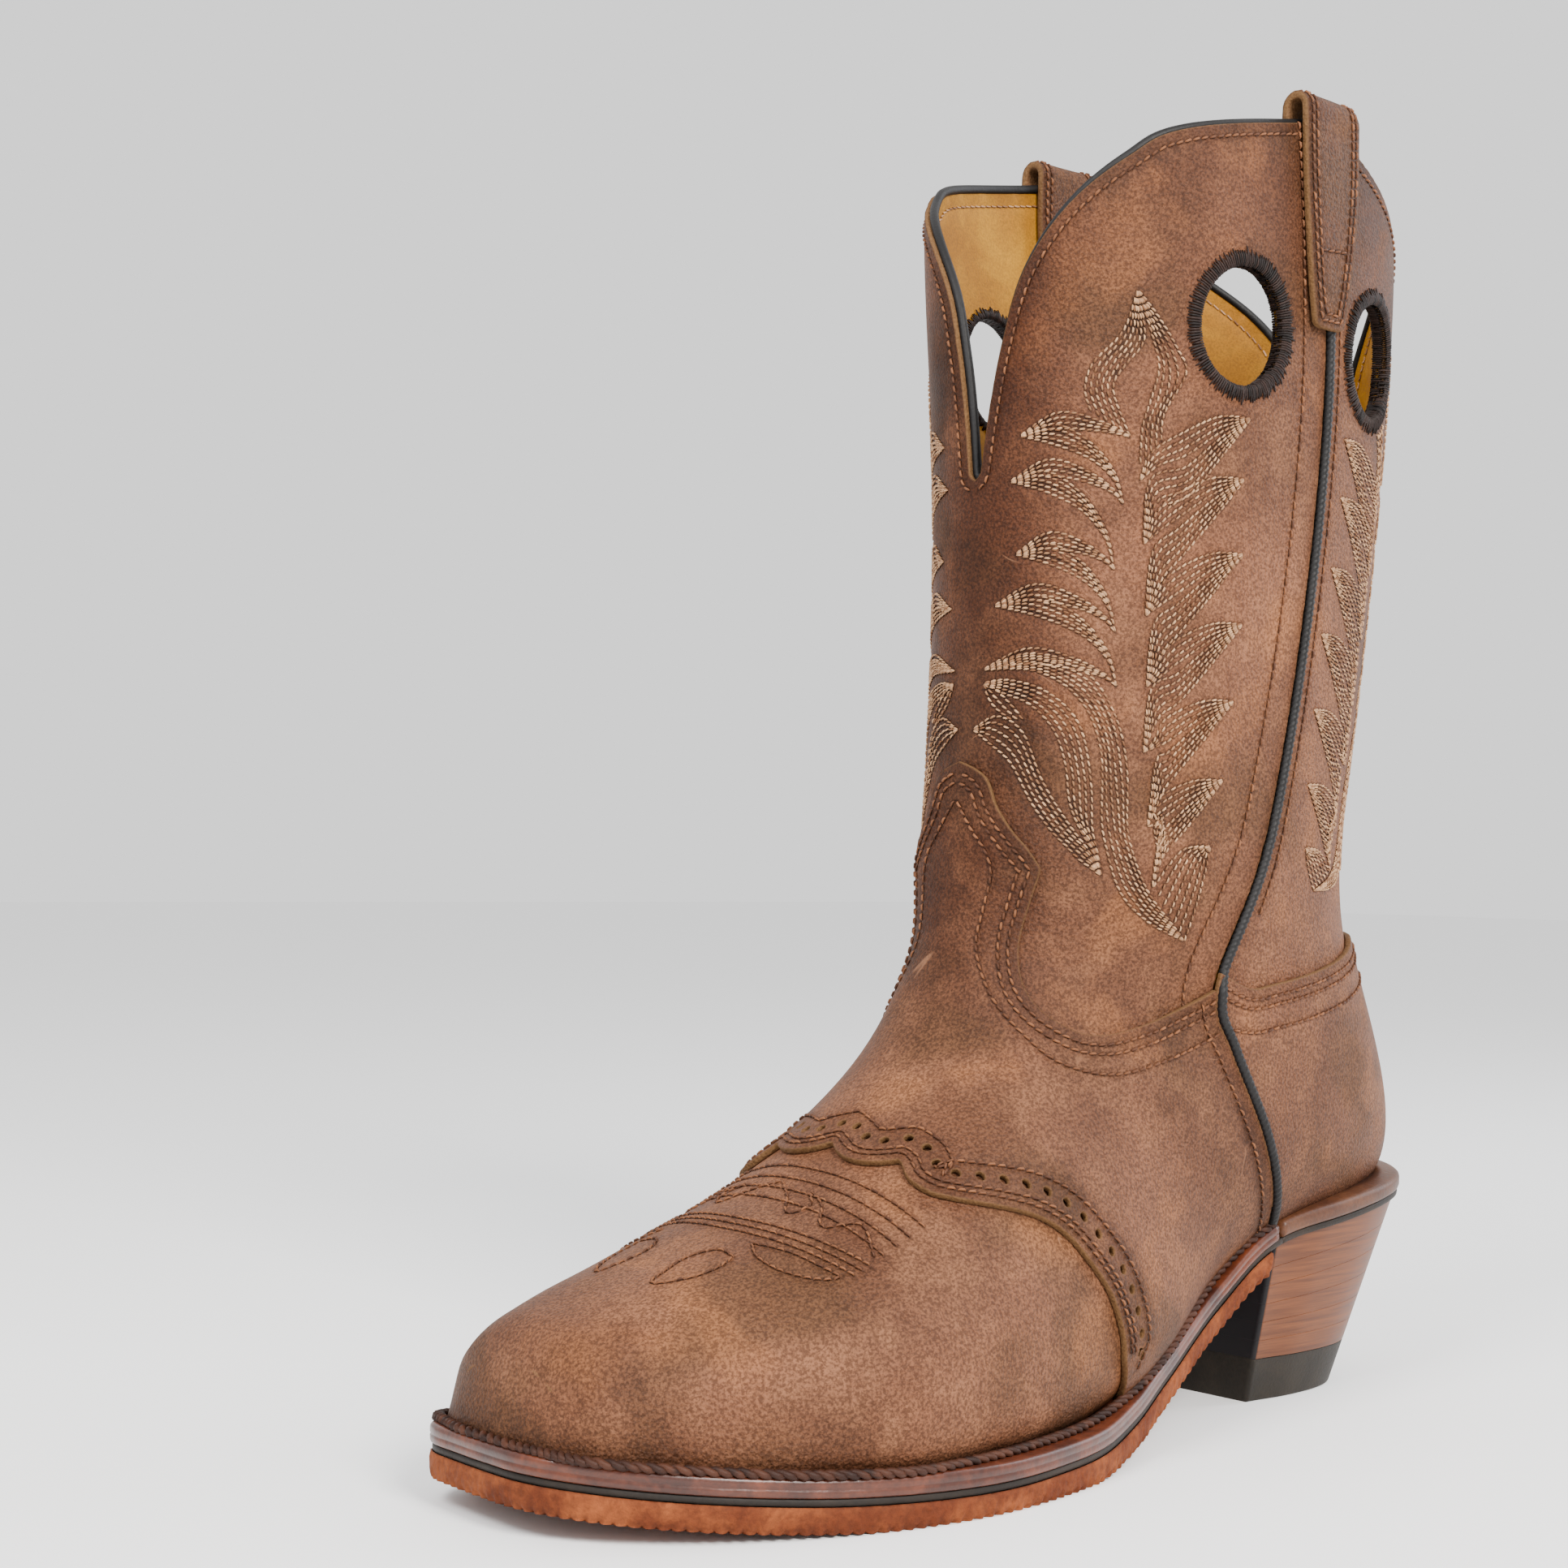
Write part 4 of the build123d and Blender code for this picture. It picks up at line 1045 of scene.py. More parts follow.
def flame_rows():
    """Rows of stitches of the flame on the lateral half of a panel."""
    rows = []
    half = ROWS_IN_LEAF // 2
    for k, tip in enumerate(LEFT_TIPS):
        upper = arched(tip, LEFT_ROOTS[k], 5.5, 2.0)
        if k + 1 < len(LEFT_ROOTS):
            lower = arched(tip, LEFT_ROOTS[k + 1], -1.5, 0.0)
            middle = arched(tip, LEFT_ROOTS[k + 1], 3.6, 0.0)
            rows += between(upper, arched(tip, LEFT_ROOTS[k], 1.5, 0.0), half)
            rows += between(middle, lower, half + 1)
        else:
            rows += between(upper, arched(tip, LEFT_ROOTS[k], 1.5, 0.0), half)
            inner = [tip, (20, 193.5), (31, 186.5), (37, 174), (38.6, 155), (43, 143.5), (52, 138.5),
                     FLAME_BOTTOM]
            outer = [tip, (18, 197.5), (32, 193.5), (40, 183), (44, 170), (45.5, 153), (51, 143.5),
                     FLAME_BOTTOM]
            rows += between(inner, outer, 6)
    for k, tip in enumerate(RIGHT_TIPS):
        root = RIGHT_ROOTS[k]
        below = RIGHT_ROOTS[k + 1] if k + 1 < len(RIGHT_ROOTS) else FLAME_BOTTOM
        (a0, t0), (a1, t1), (a2, t2) = tip, root, below
        if k + 1 == len(RIGHT_ROOTS):
            rows += between([tip, (62, 150), (57.5, 147), (54.5, 144.5), root],
                            [tip, (69, 147), (67.5, 143.5), (66, 140), below], ROWS_IN_LEAF - 1)
            continue
        upper = [tip, (a0 - 10, t0 - 0.5), (a0 - 21, t0 - 5.5), (a1 + 3, t0 - 11), root]
        under = [tip, (a0 - 10, t0 - 4.5), (a0 - 20, t0 - 11), (a1 + 5, (t0 + t1) / 2 - 5), root]
        lower = [tip, (a0 - 9, t0 - 10), (a0 - 19, t0 - 21), (a2 + 4, t2 + 9), below]
        above = [tip, (a0 - 10, t0 - 6), (a0 - 20, t0 - 14), (a2 + 1.5, t2 + 16), below]
        rows += between(upper, under, half)
        rows += between(above, lower, half + 1)
    top = (43.7, 288.7)
    rows += between([top, (39.9, 278.3), (32.5, 270.5), (30.5, 264), (32, 258.5)],
                    [top, (45.5, 277), (40.8, 270.5), (37.5, 264.2), (41.9, 252.5)], 6)
    rows += between([top, (49.1, 282.6), (54.5, 275), (57, 269.3), (51, 259), (50.2, 252)],
                    [top, (47.5, 278), (49.5, 270), (47, 261), (45.2, 255), (44.7, 246)], 5)
    rows += between([(5.6, 190.7), (13, 191.2), (23, 188), (31.2, 180), (35, 166), (36, 155),
                     (38.8, 144.4)],
                    [(5.6, 190.7), (11, 188), (18.5, 185), (25, 178.5), (28.4, 170), (30.5, 160),
                     (38.8, 144.4)], 5)
    rows += between([(2.9, 178.8), (7.8, 175.5), (14.5, 170.5), (21, 160.7), (31, 148.8), (38.8, 144.4)],
                    [(2.9, 178.8), (10, 182), (17, 178), (22.5, 167), (31, 155), (38.8, 144.4)], 5)
    rows += between([(5.6, 190.7), (7, 187), (9.5, 184), (14, 181)],
                    [(5.6, 190.7), (9, 189), (13.5, 185), (17, 181)], 3)
    return rows


def kept_runs(row, free):
    """The stretches of a row that are free, without the very short ones."""
    runs = np.split(np.arange(len(row)), np.nonzero(np.diff(free.astype(int)))[0] + 1)
    return [row[run] for run in runs if free[run[0]] and len(run) > 4]


def kept_inside(rows, region):
    """The stretches of rows that lie inside a region."""
    rows = [spaced(row, 1.0) for row in rows]
    return [run for row in rows for run in kept_runs(row, inside(row, region))]


def clear_of_holes(rows, holes):
    """Rows cut off where they come near a pull hole."""
    tree = tree_of(np.vstack(holes))
    kept = []
    for row in rows:
        row = spaced(row, 1.0)
        free = (nearest(tree, row) > HOLE_MARGIN) & ~inside(row, holes)
        kept += [row] if free.all() else kept_runs(row, free)
    return kept


def topline_rows(chart, tops, distance, least, drop):
    """Rows of stitches along the shaft's top edge, kept off the bottom of the V and the side seams."""
    rows = []
    for side, line in tops.items():
        row = beside(chart, line, (side if chart.back else -side) * distance)
        row = row[np.abs(row[:, 0]) > least]
        rows.append(row[row[:, 1] < SEAM_TOP_Z - drop])
    return rows


def make_shaft(place):
    """One panel of the shaft with its embroidery, and the lining and the bead behind it."""
    chart, hole_x = HOLES[place]
    holes = [hole_outline(chart, hole_x, side) for side in (1, -1)]
    outline, tops, seams = shaft_outline(chart, BEAD_GAP, PIPING_GAP)
    edge_rows = topline_rows(chart, tops, 3.0, 0.6, 4.5)
    for line in seams.values():
        row = toward_middle(chart, line, SEAM_ROW[place])
        edge_rows.append(row[row[:, 1] > OVERLAY_Z + 4])
    half = flame_rows()
    flame = clear_of_holes(half + [mirrored(row) for row in half], holes)
    edge_rows = clear_of_holes(edge_rows, holes)
    leather(f"{place}_shaft_leather", chart, outline, 0.0, -LEATHER, LEATHER_LOOK, "leather",
            f"{place}_shaft_panel", flame + edge_rows, holes)
    threads(f"{place}_flame_thread", chart, flame, 0.03, PALE_THREAD, 1.8, 0.27, 4)
    threads(f"{place}_seam_thread", chart, edge_rows, 0.05, BROWN_THREAD, STITCH, 0.33)
    outline, tops, _ = shaft_outline(chart, 1.0, 0.1)
    rows = topline_rows(chart, tops, 5.0, 1.0, 6.5)
    leather(f"{place}_lining_leather", chart, outline, -LEATHER - LINING, -LEATHER - 0.05, LINING_LOOK,
            "lining",
            f"{place}_shaft_lining", rows, holes, 3.2, 0.3)
    threads(f"{place}_lining_thread", chart, rows, -LEATHER - LINING - 0.1, PALE_THREAD, STITCH, 0.3)
    _, tops, _ = shaft_outline(chart, 1.3, 0.2)
    bead = spaced_on(chart, np.vstack([tops[1][::-1], tops[-1][1:]]), 1.5)
    vertices, faces = tube(*chart.surface(bead, -LEATHER - 0.75), 1.25, 10)
    add_mesh(f"{place}_topline_bead", vertices, faces, BEAD_LOOK, "piping", [f"topline_piping_{place}"])


def overlock(place, side_name):
    """Thread whipped round a pull hole, over the edge from face to face."""
    chart, hole_x = HOLES[place]
    side = 1 if side_name == "left" else -1
    loop = turned(spaced_on(chart, hole_outline(chart, hole_x, side), 0.62, closed=True), True)
    reach = RNG.uniform(2.7, 4.0, len(loop)) + 0.6 * (np.arange(len(loop)) % 2)
    inner_reach = RNG.uniform(1.6, 3.2, len(loop))
    path = [(1.0, 0.1, True), (0.62, 0.62, True), (0.15, 0.72, True), (-0.08, 0.1, True),
            (-0.14, -1.6, False),
            (-0.10, -3.3, False), (0.15, -3.95, False), (0.6, -3.8, False), (1.0, -3.3, False)]
    far = beside(chart, loop, 6.0 if chart.flipped else -6.0, closed=True)
    columns = []
    for along, height, on_face in path:
        length = reach if on_face else inner_reach
        at = loop + (far - loop) * (along * length / 6.0)[:, None]
        columns.append(chart.surface(at, height + RNG.normal(0, 0.06, len(loop))))
    parts = []
    for k in range(len(loop)):
        points = np.array([column[0][k] for column in columns])
        up = np.array([column[1][k] for column in columns])
        up[3:6] += 0.01
        parts.append(tube(points, up, RNG.uniform(0.27, 0.34) * np.array([0.5, 1, 1, 1, 1, 1, 1, 1, 0.5]),
                          5))
    vertices, faces = joined(parts)
    tone = np.repeat(RNG.uniform(0, 1, len(loop)), len(vertices) // len(loop))
    add_mesh(f"{place}_{side_name}_hole_thread", vertices, faces, HOLE_THREAD, "thread",
             [f"pull_hole_binding_{place}_{side_name}"], {"tone": tone})


def side_cord(side_name):
    """Laid cord down a side seam, proud of the leathers on both sides of it."""
    side = 1 if side_name == "left" else -1
    line = spaced_on(FRONT, seam_line(FRONT, side, 40, STRAP_OUTER_Z + 4), 0.36)
    points, normal = FRONT.surface(line, 0.0)
    low = np.clip((OVERLAY_Z + 5 - points[:, 2]) / 6, 0, 1)[:, None]
    keep = points[:, 2] > welt_top(points[:, 0]) + 0.3
    points = (points + normal * (0.1 + 1.9 * low))[keep]
    vertices, faces = tube(points, normal[keep], 1.32, 15, 3, 3.9, 0.13)
    add_mesh(f"{side_name}_side_cord", vertices, faces, BEAD_LOOK, "piping", [f"side_piping_{side_name}"])


# ================================================================ foot
TONGUE_EDGE = [(0, 171), (4.3, 169.6), (8.3, 167.3), (10.3, 164), (11.6, 161), (16.5, 154), (23.8, 144.8)]
SADDLE_EDGE = [(23.8, 144.8), (21.6, 137), (20.3, 129.5), (21.3, 123.5), (24.6, 118.3), (30.5, 115.3),
               (39.2, 114.9), (47.4, 117), (57.4, 121.6), (70.1, 127.4), (83, 132)]
WING_CUSPS = [(-17.5, 61.5), (4, 60.6), (24.8, 62.8)]
WING_EDGE = [(24.8, 62.8), (30.5, 59.6), (36.5, 60), (41, 62.5), (46.2, 67), (52.2, 72.8), (57.7, 77.4),
             (64.4, 80.6), (72.8, 82.3), (83.9, 83.6), (94.3, 83.2), (103, 82)]
SHOULDER_ROW = [(0.5, 162), (6, 154), (11.5, 144.5), (10.5, 134), (10, 126), (13, 119), (19, 112.5),
                (28, 108.5), (38, 107.2), (51, 111), (63, 117.5), (74, 123.5), (85, 129)]
LOBE = 5.0  # depth of a scallop
MEDIAL_SHIFT = 13.5  # how far the medial wing moves outwards, where it leaves the scallops
PUNCH = 1.25  # radius of a broguing hole
ROW_NUDGE = 0.01  # how far the shoulder row is moved aside: next to nothing


def lobe(start, end):
    """A scallop that hangs between two cusps."""
    (a0, t0), (a1, t1) = start, end
    f = np.linspace(0, 1, 16)
    return np.column_stack([a0 + (a1 - a0) * f, t0 + (t1 - t0) * f - LOBE * np.sin(math.pi * f) ** 0.8])


def foot_edges():
    """Named lines of the foot in the front chart."""
    tongue = smooth(TONGUE_EDGE, 8)
    saddle = smooth(SADDLE_EDGE, 8)
    seams = {side: seam_edge(FRONT, side, 40, 132, PIPING_GAP) for side in (1, -1)}
    welts = {side: welt_line(FRONT, side, -74, 145) for side in (1, -1)}
    return tongue, saddle, seams, welts


def make_saddle():
    """The overlay from the tongue to the scalloped wing, with its punched holes and its rows."""
    tongue, saddle, seams, welts = foot_edges()
    wing = smooth(WING_EDGE, 8)
    outline, tops, wings = [], {}, {}
    for side in (1, -1):
        seam, welt = seams[side], welts[side]
        edge = np.vstack([tongue, saddle[1:]]) * [side, 1]
        corner = seam[np.argmin(np.abs(seam[:, 1] - SADDLE_EDGE[-1][1]))]
        stretch = abs(corner[0]) / SADDLE_EDGE[-1][0]
        edge[:, 0] *= 1 + (stretch - 1) * np.clip((np.abs(edge[:, 0]) - 35) / 48, 0, 1)
        edge[-1] = corner[0], edge[-1, 1]
        run = wing * [side, 1]
        if side < 0:
            run = run - [MEDIAL_SHIFT, 0] * np.clip(1 - (np.abs(run[:, :1]) - WING_EDGE[0][0]) / 60, 0, 1)
        meets = np.argmin(np.abs(welt - run[-1]).sum(1))
        run[-1] = welt[meets]
        seam = seam[(seam[:, 1] < edge[-1, 1]) & (seam[:, 1] > welt[0, 1])]
        tops[side], wings[side] = edge, run
        outline.append(np.vstack([edge, seam, welt[: meets + 1], run[::-1][1:]]))
    cusps = WING_CUSPS[::-1] + [tuple(wings[-1][0])]
    lobes = np.vstack([lobe(start, end)[1:] for start, end in zip(cusps, cusps[1:])])[:-1]
    loop = np.vstack([outline[0], lobes, outline[1][::-1]])
    low_edge = np.vstack([wings[-1][::-1], lobes[::-1], wings[1]])
    rows = [beside(FRONT, low_edge, d)[2:-2] for d in (2.4, 4.2, 11.5)]
    turns = np.arange(12) / 12 * 2 * math.pi
    holes = []
    for centre in spaced_on(FRONT, beside(FRONT, low_edge, 7.8), 5.7)[2:-2]:
        here, there = FRONT.surface(np.array([centre, centre + [0, 1.0]]))[0]
        squeeze = max(1.0, np.linalg.norm(there - here))
        holes.append(centre + np.column_stack([PUNCH * np.cos(turns), PUNCH / squeeze * np.sin(turns)]))
    for side in (1, -1):
        rows += [beside(FRONT, tops[side], -side * d)[4:-1] for d in (2.6, 5.0)]
        rows.append(beside(FRONT, smooth(SHOULDER_ROW, 8) * [side, 1], ROW_NUDGE))
        rows.append(toward_middle(FRONT, seams[side], 4.6)[3:-2])
    rows = kept_inside(rows, [turned(loop, True)])
    leather("saddle_leather", FRONT, loop, LEATHER, 0.1, LEATHER_LOOK, "leather", "saddle_vamp", rows,
            holes, 2.4)
    threads("saddle_thread", FRONT, rows, LEATHER + 0.05, BROWN_THREAD, STITCH, 0.34)


def toe_rows():
    """Rows of stitches on the vamp: two sets of arcs, a flower between them and petals in front."""
    rows = []
    a = np.linspace(-43, 43, 45)
    for t in (51.8, 47.2, 43.0, 38.6):
        rows.append(np.column_stack([a, t + 0.0009 * a**2]))
    for t in (28.2, 25.6, 23.0):
        rows.append(np.column_stack([a, t + 0.0040 * a**2]))
    for side in (1, -1):
        bend = [(0, 45.5), (7, 40.5), (12.9, 34.8), (16, 40), (11.4, 44.1), (18.4, 41.5), (25, 35.5),
                (31.5, 42.5),
                (41.6, 38.0)]
        rows.append(smooth([(side * x, t) for x, t in bend], 8))
        petal = [(side * x, t) for x, t in
                 [(17.6, 14), (18.0, 8), (15.6, 1.2), (10.3, -4.8), (8.0, 1.8), (7.4, 9), (11.5, 14.5),
                  (17.6, 14)]]
        rows.append(smooth(petal, 8))
        petal = [(side * x, t) for x, t in
                 [(16.5, 20.5), (22, 17.4), (30, 17.6), (37.4, 21.6), (41.4, 27.0), (35, 25.4), (26, 23.4),
                  (16.5, 20.5)]]
        rows.append(smooth(petal, 8))
    return rows


def make_vamp():
    """The toe and the forepart, closed over the tip of the toe and cut off under the saddle."""
    welts = foot_edges()[3]
    start = FRONT.t[0]
    sides = []
    for side in (1, -1):
        turns = np.linspace(0, side * math.pi, 721)
        level = skin(np.zeros(721), turns)
        angle = np.interp(-(welt_top(TOE_SKIN_X) - 0.7), -level[:, 2], turns)
        corner = FRONT.find(np.array([0.0]), np.array([angle]))[0]
        edge = welts[side][welts[side][:, 1] > start + 1]
        edge = edge[FRONT.surface(edge)[0][:, 0] > -14]
        sides.append(np.vstack([edge, corner, [corner[0], start - TOE_CAP * 0.97]]))
    under = smooth([tuple(sides[1][0]), (-96, 90), (-70, 90), (-45, 80), (-30, 72), (0, 70), (30, 72),
                    (45, 80),
                    (70, 90), (96, 90), tuple(sides[0][0])], 6)
    outline = np.vstack([sides[0], sides[1][::-1], under[1:-1]])
    rows = toe_rows()
    leather("vamp_leather", FRONT, outline, 0.0, -LEATHER, LEATHER_LOOK, "leather", "vamp", rows,
            pitch=2.2, soften_past=141.0)
    threads("vamp_thread", FRONT, rows, 0.05, BROWN_THREAD, 2.2, 0.30)


def make_counter():
    """The overlay round the heel, from seam to seam."""
    top = smooth(COUNTER_TOP, 8)
    line = top[(top[:, 0] > -119) & (top[:, 0] < -40)]
    x = np.arange(-140, -76, 3.0)
    edges, seams, welts, low = {}, {}, {}, {}
    for side in (1, -1):
        seams[side] = seam_edge(BACK, side, 40, 118, PIPING_GAP)
        places = BACK.locate(line, SIDE_VIEW, side)[::-1]
        places = places[np.abs(places[:, 0]) < abs(seams[side][0, 0])]
        edges[side] = np.vstack([seams[side][:1], places])
        welts[side] = BACK.locate(np.column_stack([x, welt_top(x) - 0.7]), SIDE_VIEW, side)
        low[side] = seams[side][seams[side][:, 1] > welts[side][-1, 1]]
    ends = np.array([edges[-1][-1], edges[1][-1]])
    mid_t = np.interp(0, *ends.T) + 2.0
    top_edge = smooth([*edges[1][::3], (0.0, mid_t), *edges[-1][::-3]], 4)
    bottom = np.vstack([welts[1][::-1], [[0.0, welt_back_t()]], welts[-1]])
    loop = np.vstack([top_edge, low[-1][1:], bottom[::-1], low[1][::-1][:-1]])
    rows = []
    for d in (2.8, 5.2, 11.5):
        one = beside(BACK, top_edge, d)
        if one[len(one) // 2, 1] > top_edge[len(top_edge) // 2, 1]:
            one = beside(BACK, top_edge, -d)
        rows.append(one[1:-1])
    rows += [toward_middle(BACK, seams[side], 3.6)[2:-1] for side in (1, -1)]
    rows = kept_inside(rows, [turned(loop, True)])
    leather("heel_counter_leather", BACK, loop, LEATHER, 0.1, LEATHER_LOOK, "leather", "heel_counter",
            rows,
            pitch=2.4)
    threads("heel_counter_thread", BACK, rows, LEATHER + 0.05, BROWN_THREAD, STITCH, 0.34)


def welt_back_t():
    """Place in the back chart where the middle of the heel meets the rand."""
    t = np.linspace(-60, 120, 400)
    points, _ = BACK.surface(np.column_stack([np.zeros(400), t]))
    return np.interp(0, points[:, 2] - welt_top(points[:, 0]) + 0.7, t)


# ================================================================ pull straps
class StrapPath:
    """A pull strap laid flat: across its width, and along it from the outer tip over the top to the inner."""

    def __init__(self, side):
        self.side = side
        self.flipped = side > 0
        self.leg = STRAP_BEND_Z - STRAP_OUTER_Z
        self.arc = math.pi * STRAP_RADIUS
        self.inner = STRAP_BEND_Z - STRAP_INNER_Z

    def turn_at(self, x, z):
        s = 2 + (z - PIVOT_Z) / (SKIN_TOP - PIVOT_Z)
        turn = np.full(len(x), self.side * math.pi / 2)
        for _ in range(5):
            here = skin(s, turn)[:, 0]
            slope = (skin(s, turn + STEP)[:, 0] - here) / STEP
            slope = np.where(np.abs(slope) < 1, np.copysign(1, slope), slope)
            turn = turn + np.clip((x - here) / slope, -0.2, 0.2)
        return s, turn

    def point(self, at):
        """Points on the strap's face, at (across, along)."""
        across, along = at[:, 0], at[:, 1]
        x = STRAP_X + across
        on_outer = along < self.leg
        on_inner = along > self.leg + self.arc
        z = np.where(on_outer, STRAP_OUTER_Z + along, STRAP_BEND_Z)
        z = np.where(on_inner, STRAP_BEND_Z - (along - self.leg - self.arc), z)
        s, turn = self.turn_at(x, np.minimum(z, STRAP_BEND_Z))
        normal = normals(s, turn)
        base = skin(s, turn)
        height = np.where(on_inner, -LEATHER - LINING - STRAP_GAP - STRAP_THICK, STRAP_GAP + STRAP_THICK)
        points = base + normal * height[:, None]
        over_top = ~(on_outer | on_inner)
        angle = np.clip((along - self.leg) / STRAP_RADIUS, 0, math.pi)
        rounded = base - normal * (LEATHER + LINING) / 2
        rounded[:, 1] += self.side * STRAP_RADIUS * np.cos(angle)
        rounded[:, 2] = STRAP_BEND_Z + STRAP_RADIUS * np.sin(angle)
        return np.where(over_top[:, None], rounded, points)

    def surface(self, at, offset=0.0):
        at = np.asarray(at, float)
        here = self.point(at)
        step = 0.4
        by_u = self.point(at + [step, 0]) - self.point(at - [step, 0])
        by_v = self.point(at + [0, step]) - self.point(at - [0, step])
        normal = unit(np.cross(by_u, by_v) * -self.side)
        return here + normal * np.reshape(offset, (-1, 1)), normal


def make_strap(side_name):
    """A pull strap with its two rows of stitches round the edge and one across the outer end."""
    side = 1 if side_name == "left" else -1
    path = StrapPath(side)
    half = STRAP_WIDTH / 2
    length = path.leg + path.arc + path.inner
    edge = [(3.6, 0.3), (5.6, 0.8), (6.4, 3.0), (8.2, 12), (half - 1.4, 26), (half - 0.3, 38), (half, 50),
            (half, length - 40), (half - 1, length - 24), (8.5, length - 10), (6.5, length - 1),
            (4.5, length - 0.3)]
    right = smooth(edge, 5)
    loop = np.vstack([right, (right * [-1, 1])[::-1]])
    rows = []
    for inset in (2.0, 3.8):
        inner = smooth([(x - inset, min(max(v, inset + 0.4), length - inset - 0.4)) for x, v in edge], 5)
        rows.append(np.vstack([inner, (inner * [-1, 1])[::-1], inner[:1]]))
    rows.append(np.array([(-5.4, 21.0), (5.4, 20.0)]))
    leather(f"{side_name}_pull_strap", path, loop, 0.0, -STRAP_THICK, STRAP_LOOK, "strap_leather",
            f"pull_strap_{side_name}", rows, (), 2.2, 0.7)
    threads(f"{side_name}_strap_thread", path, rows, 0.05, BROWN_THREAD, STITCH, 0.33)


# ================================================================ sole, welt and heel
def sole_outline():
    """The sole's edge, from the breast of the heel round the toe and back, and the same round the heel."""
    front = smooth(SOLE_LATERAL[::-1] + [(TOE_X, 0)] + SOLE_MEDIAL, 16)
    seat = [SOLE_MEDIAL[-1]] + SEAT_MEDIAL + [(REAR_X, 0)] + SEAT_LATERAL[::-1] + [SOLE_LATERAL[-1]]
    guide = [SOLE_MEDIAL[-2]] + seat + [SOLE_LATERAL[-2]]
    rear = smooth(guide, 16)[16:-16]
    return spaced(front, 1.2), spaced(rear, 1.2)


FORE_EDGE, SEAT_EDGE = sole_outline()


def outward(line):
    """Unit normals that point away from the sole, for a line that runs with the sole on its right."""
    run = unit(np.gradient(line, axis=0))
    return np.column_stack([-run[:, 1], run[:, 0]])


def at_depth(line, depth):
    """3D points under the top of the welt, in the frame."""
    return np.column_stack([line[:, 0], line[:, 1] + AXIS_Y, welt_top(line[:, 0]) - depth])


def swept(line, profile, wobble=0.0):
    """Band with a closed profile of (inset, depth) pairs along a line, with closed ends."""
    normal = outward(line)
    rings = []
    for inset, depth in profile:
        noise_here = RNG.normal(0, wobble, len(line)) if wobble else 0.0
        rings.append(at_depth(line - normal * np.reshape(inset + noise_here, (-1, 1)), depth))
    vertices = np.stack(rings, 1).reshape(-1, 3)
    n, m = len(line), len(profile)
    faces = band(n, m)[:, [0, 3, 2, 1]].tolist()
    faces += [list(range(m))[::-1], [(n - 1) * m + q for q in range(m)]]
    return vertices, faces


def make_welt():
    """The welt, the heel's rand and the midsole: bands round the sole."""
    line = FORE_EDGE[FORE_EDGE[:, 0] > WELT_END_X]
    profile = [(8.0, -0.05), (4.5, -0.05), (1.4, -0.10), (0.55, 0.08), (0.12, 0.55), (0.0, 1.2),
               (0.0, 2.0),
               (0.18, 2.25), (0.18, 2.45), (0.0, 2.7), (0.0, 3.7), (0.22, 4.2), (0.7, 4.38), (8.0, 4.38)]
    add_mesh("welt_strip", *swept(line, profile, 0.02), WELT_LOOK, "welt_leather", ["welt"])
    profile = [(7.5, -0.5), (4.5, -0.35), (1.8, -0.1), (0.8, 0.15), (0.2, 0.7), (0.0, 1.4), (0.0, 3.3),
               (0.3, 4.1),
               (0.9, 4.38), (7.5, 4.38)]
    add_mesh("heel_seat_rand", *swept(SEAT_EDGE, profile), RAND_LOOK, "welt_leather", ["heel_rand"])
    profile = [(6.0, WELT + 0.02), (0.9, WELT + 0.02), (0.65, WELT + 0.2), (0.55, WELT + 0.9),
               (0.65, WELT + 1.6),
               (0.9, WELT + 1.78), (6.0, WELT + 1.78)]
    vertices, faces = joined([swept(FORE_EDGE, profile), swept(SEAT_EDGE, profile)])
    add_mesh("midsole_strip", vertices, faces, MIDSOLE_LOOK, "midsole", ["midsole"])


def welt_stitch():
    """Two thick threads laid round each other on the welt, beside the upper."""
    sides = []
    for side in (1, -1):
        line = welt_line(FRONT, side, -73, 145, -0.2)
        s, turn = FRONT.place(line)
        points, normal = skin(s, turn), normals(s, turn)
        normal[:, 2] = 0
        sides.append(points + unit(normal) * 3.5)
    front = np.array([[TOE_SKIN_X + 1.3, AXIS_Y + y, 0] for y in (9, -1, -14)])
    path = spaced(np.vstack([sides[0], front, sides[1][::-1]]), 0.9)
    for _ in range(25):
        path[1:-1] = (path[:-2] + 2 * path[1:-1] + path[2:]) / 4
    path[:, 2] = welt_top(path[:, 0]) + 0.75
    up = np.tile([0.0, 0.0, 1.0], (len(path), 1))
    across = np.cross(up, unit(np.gradient(path, axis=0)))
    length = np.arange(len(path)) * 0.9
    parts = []
    for phase in (0, math.pi):
        spin = length / 5.6 * 2 * math.pi + phase
        strand = path + across * (0.85 * np.cos(spin))[:, None] + up * (0.45 * np.sin(spin))[:, None]
        parts.append(tube(strand, up, 0.82, 8))
    vertices, faces = joined(parts)
    tone = np.repeat(RNG.uniform(0, 1, len(vertices) // 28 + 1), 28)[: len(vertices)]
    add_mesh("welt_lockstitch", vertices, faces, WELT_THREAD, "thread", ["welt_stitching"], {"tone": tone})


def filled(ring, flip):
    """Faces that close a nearly level ring, with points inside so that it follows the sole's curve."""
    flat = ring[:, :2]
    low, high = flat.min(0), flat.max(0)
    grid = np.meshgrid(np.arange(low[0], high[0], 6.0), np.arange(low[1], high[1], 6.0))
    grid = np.stack(grid, -1).reshape(-1, 2)
    grid = grid[inside(grid, [flat])]
    grid = grid[nearest(tree_of(flat), grid) > 3.0]
    points, faces, rows = triangulate([turned(flat, True)], grid)
    return points, faces[:, ::-1] if flip else faces, rows[0]


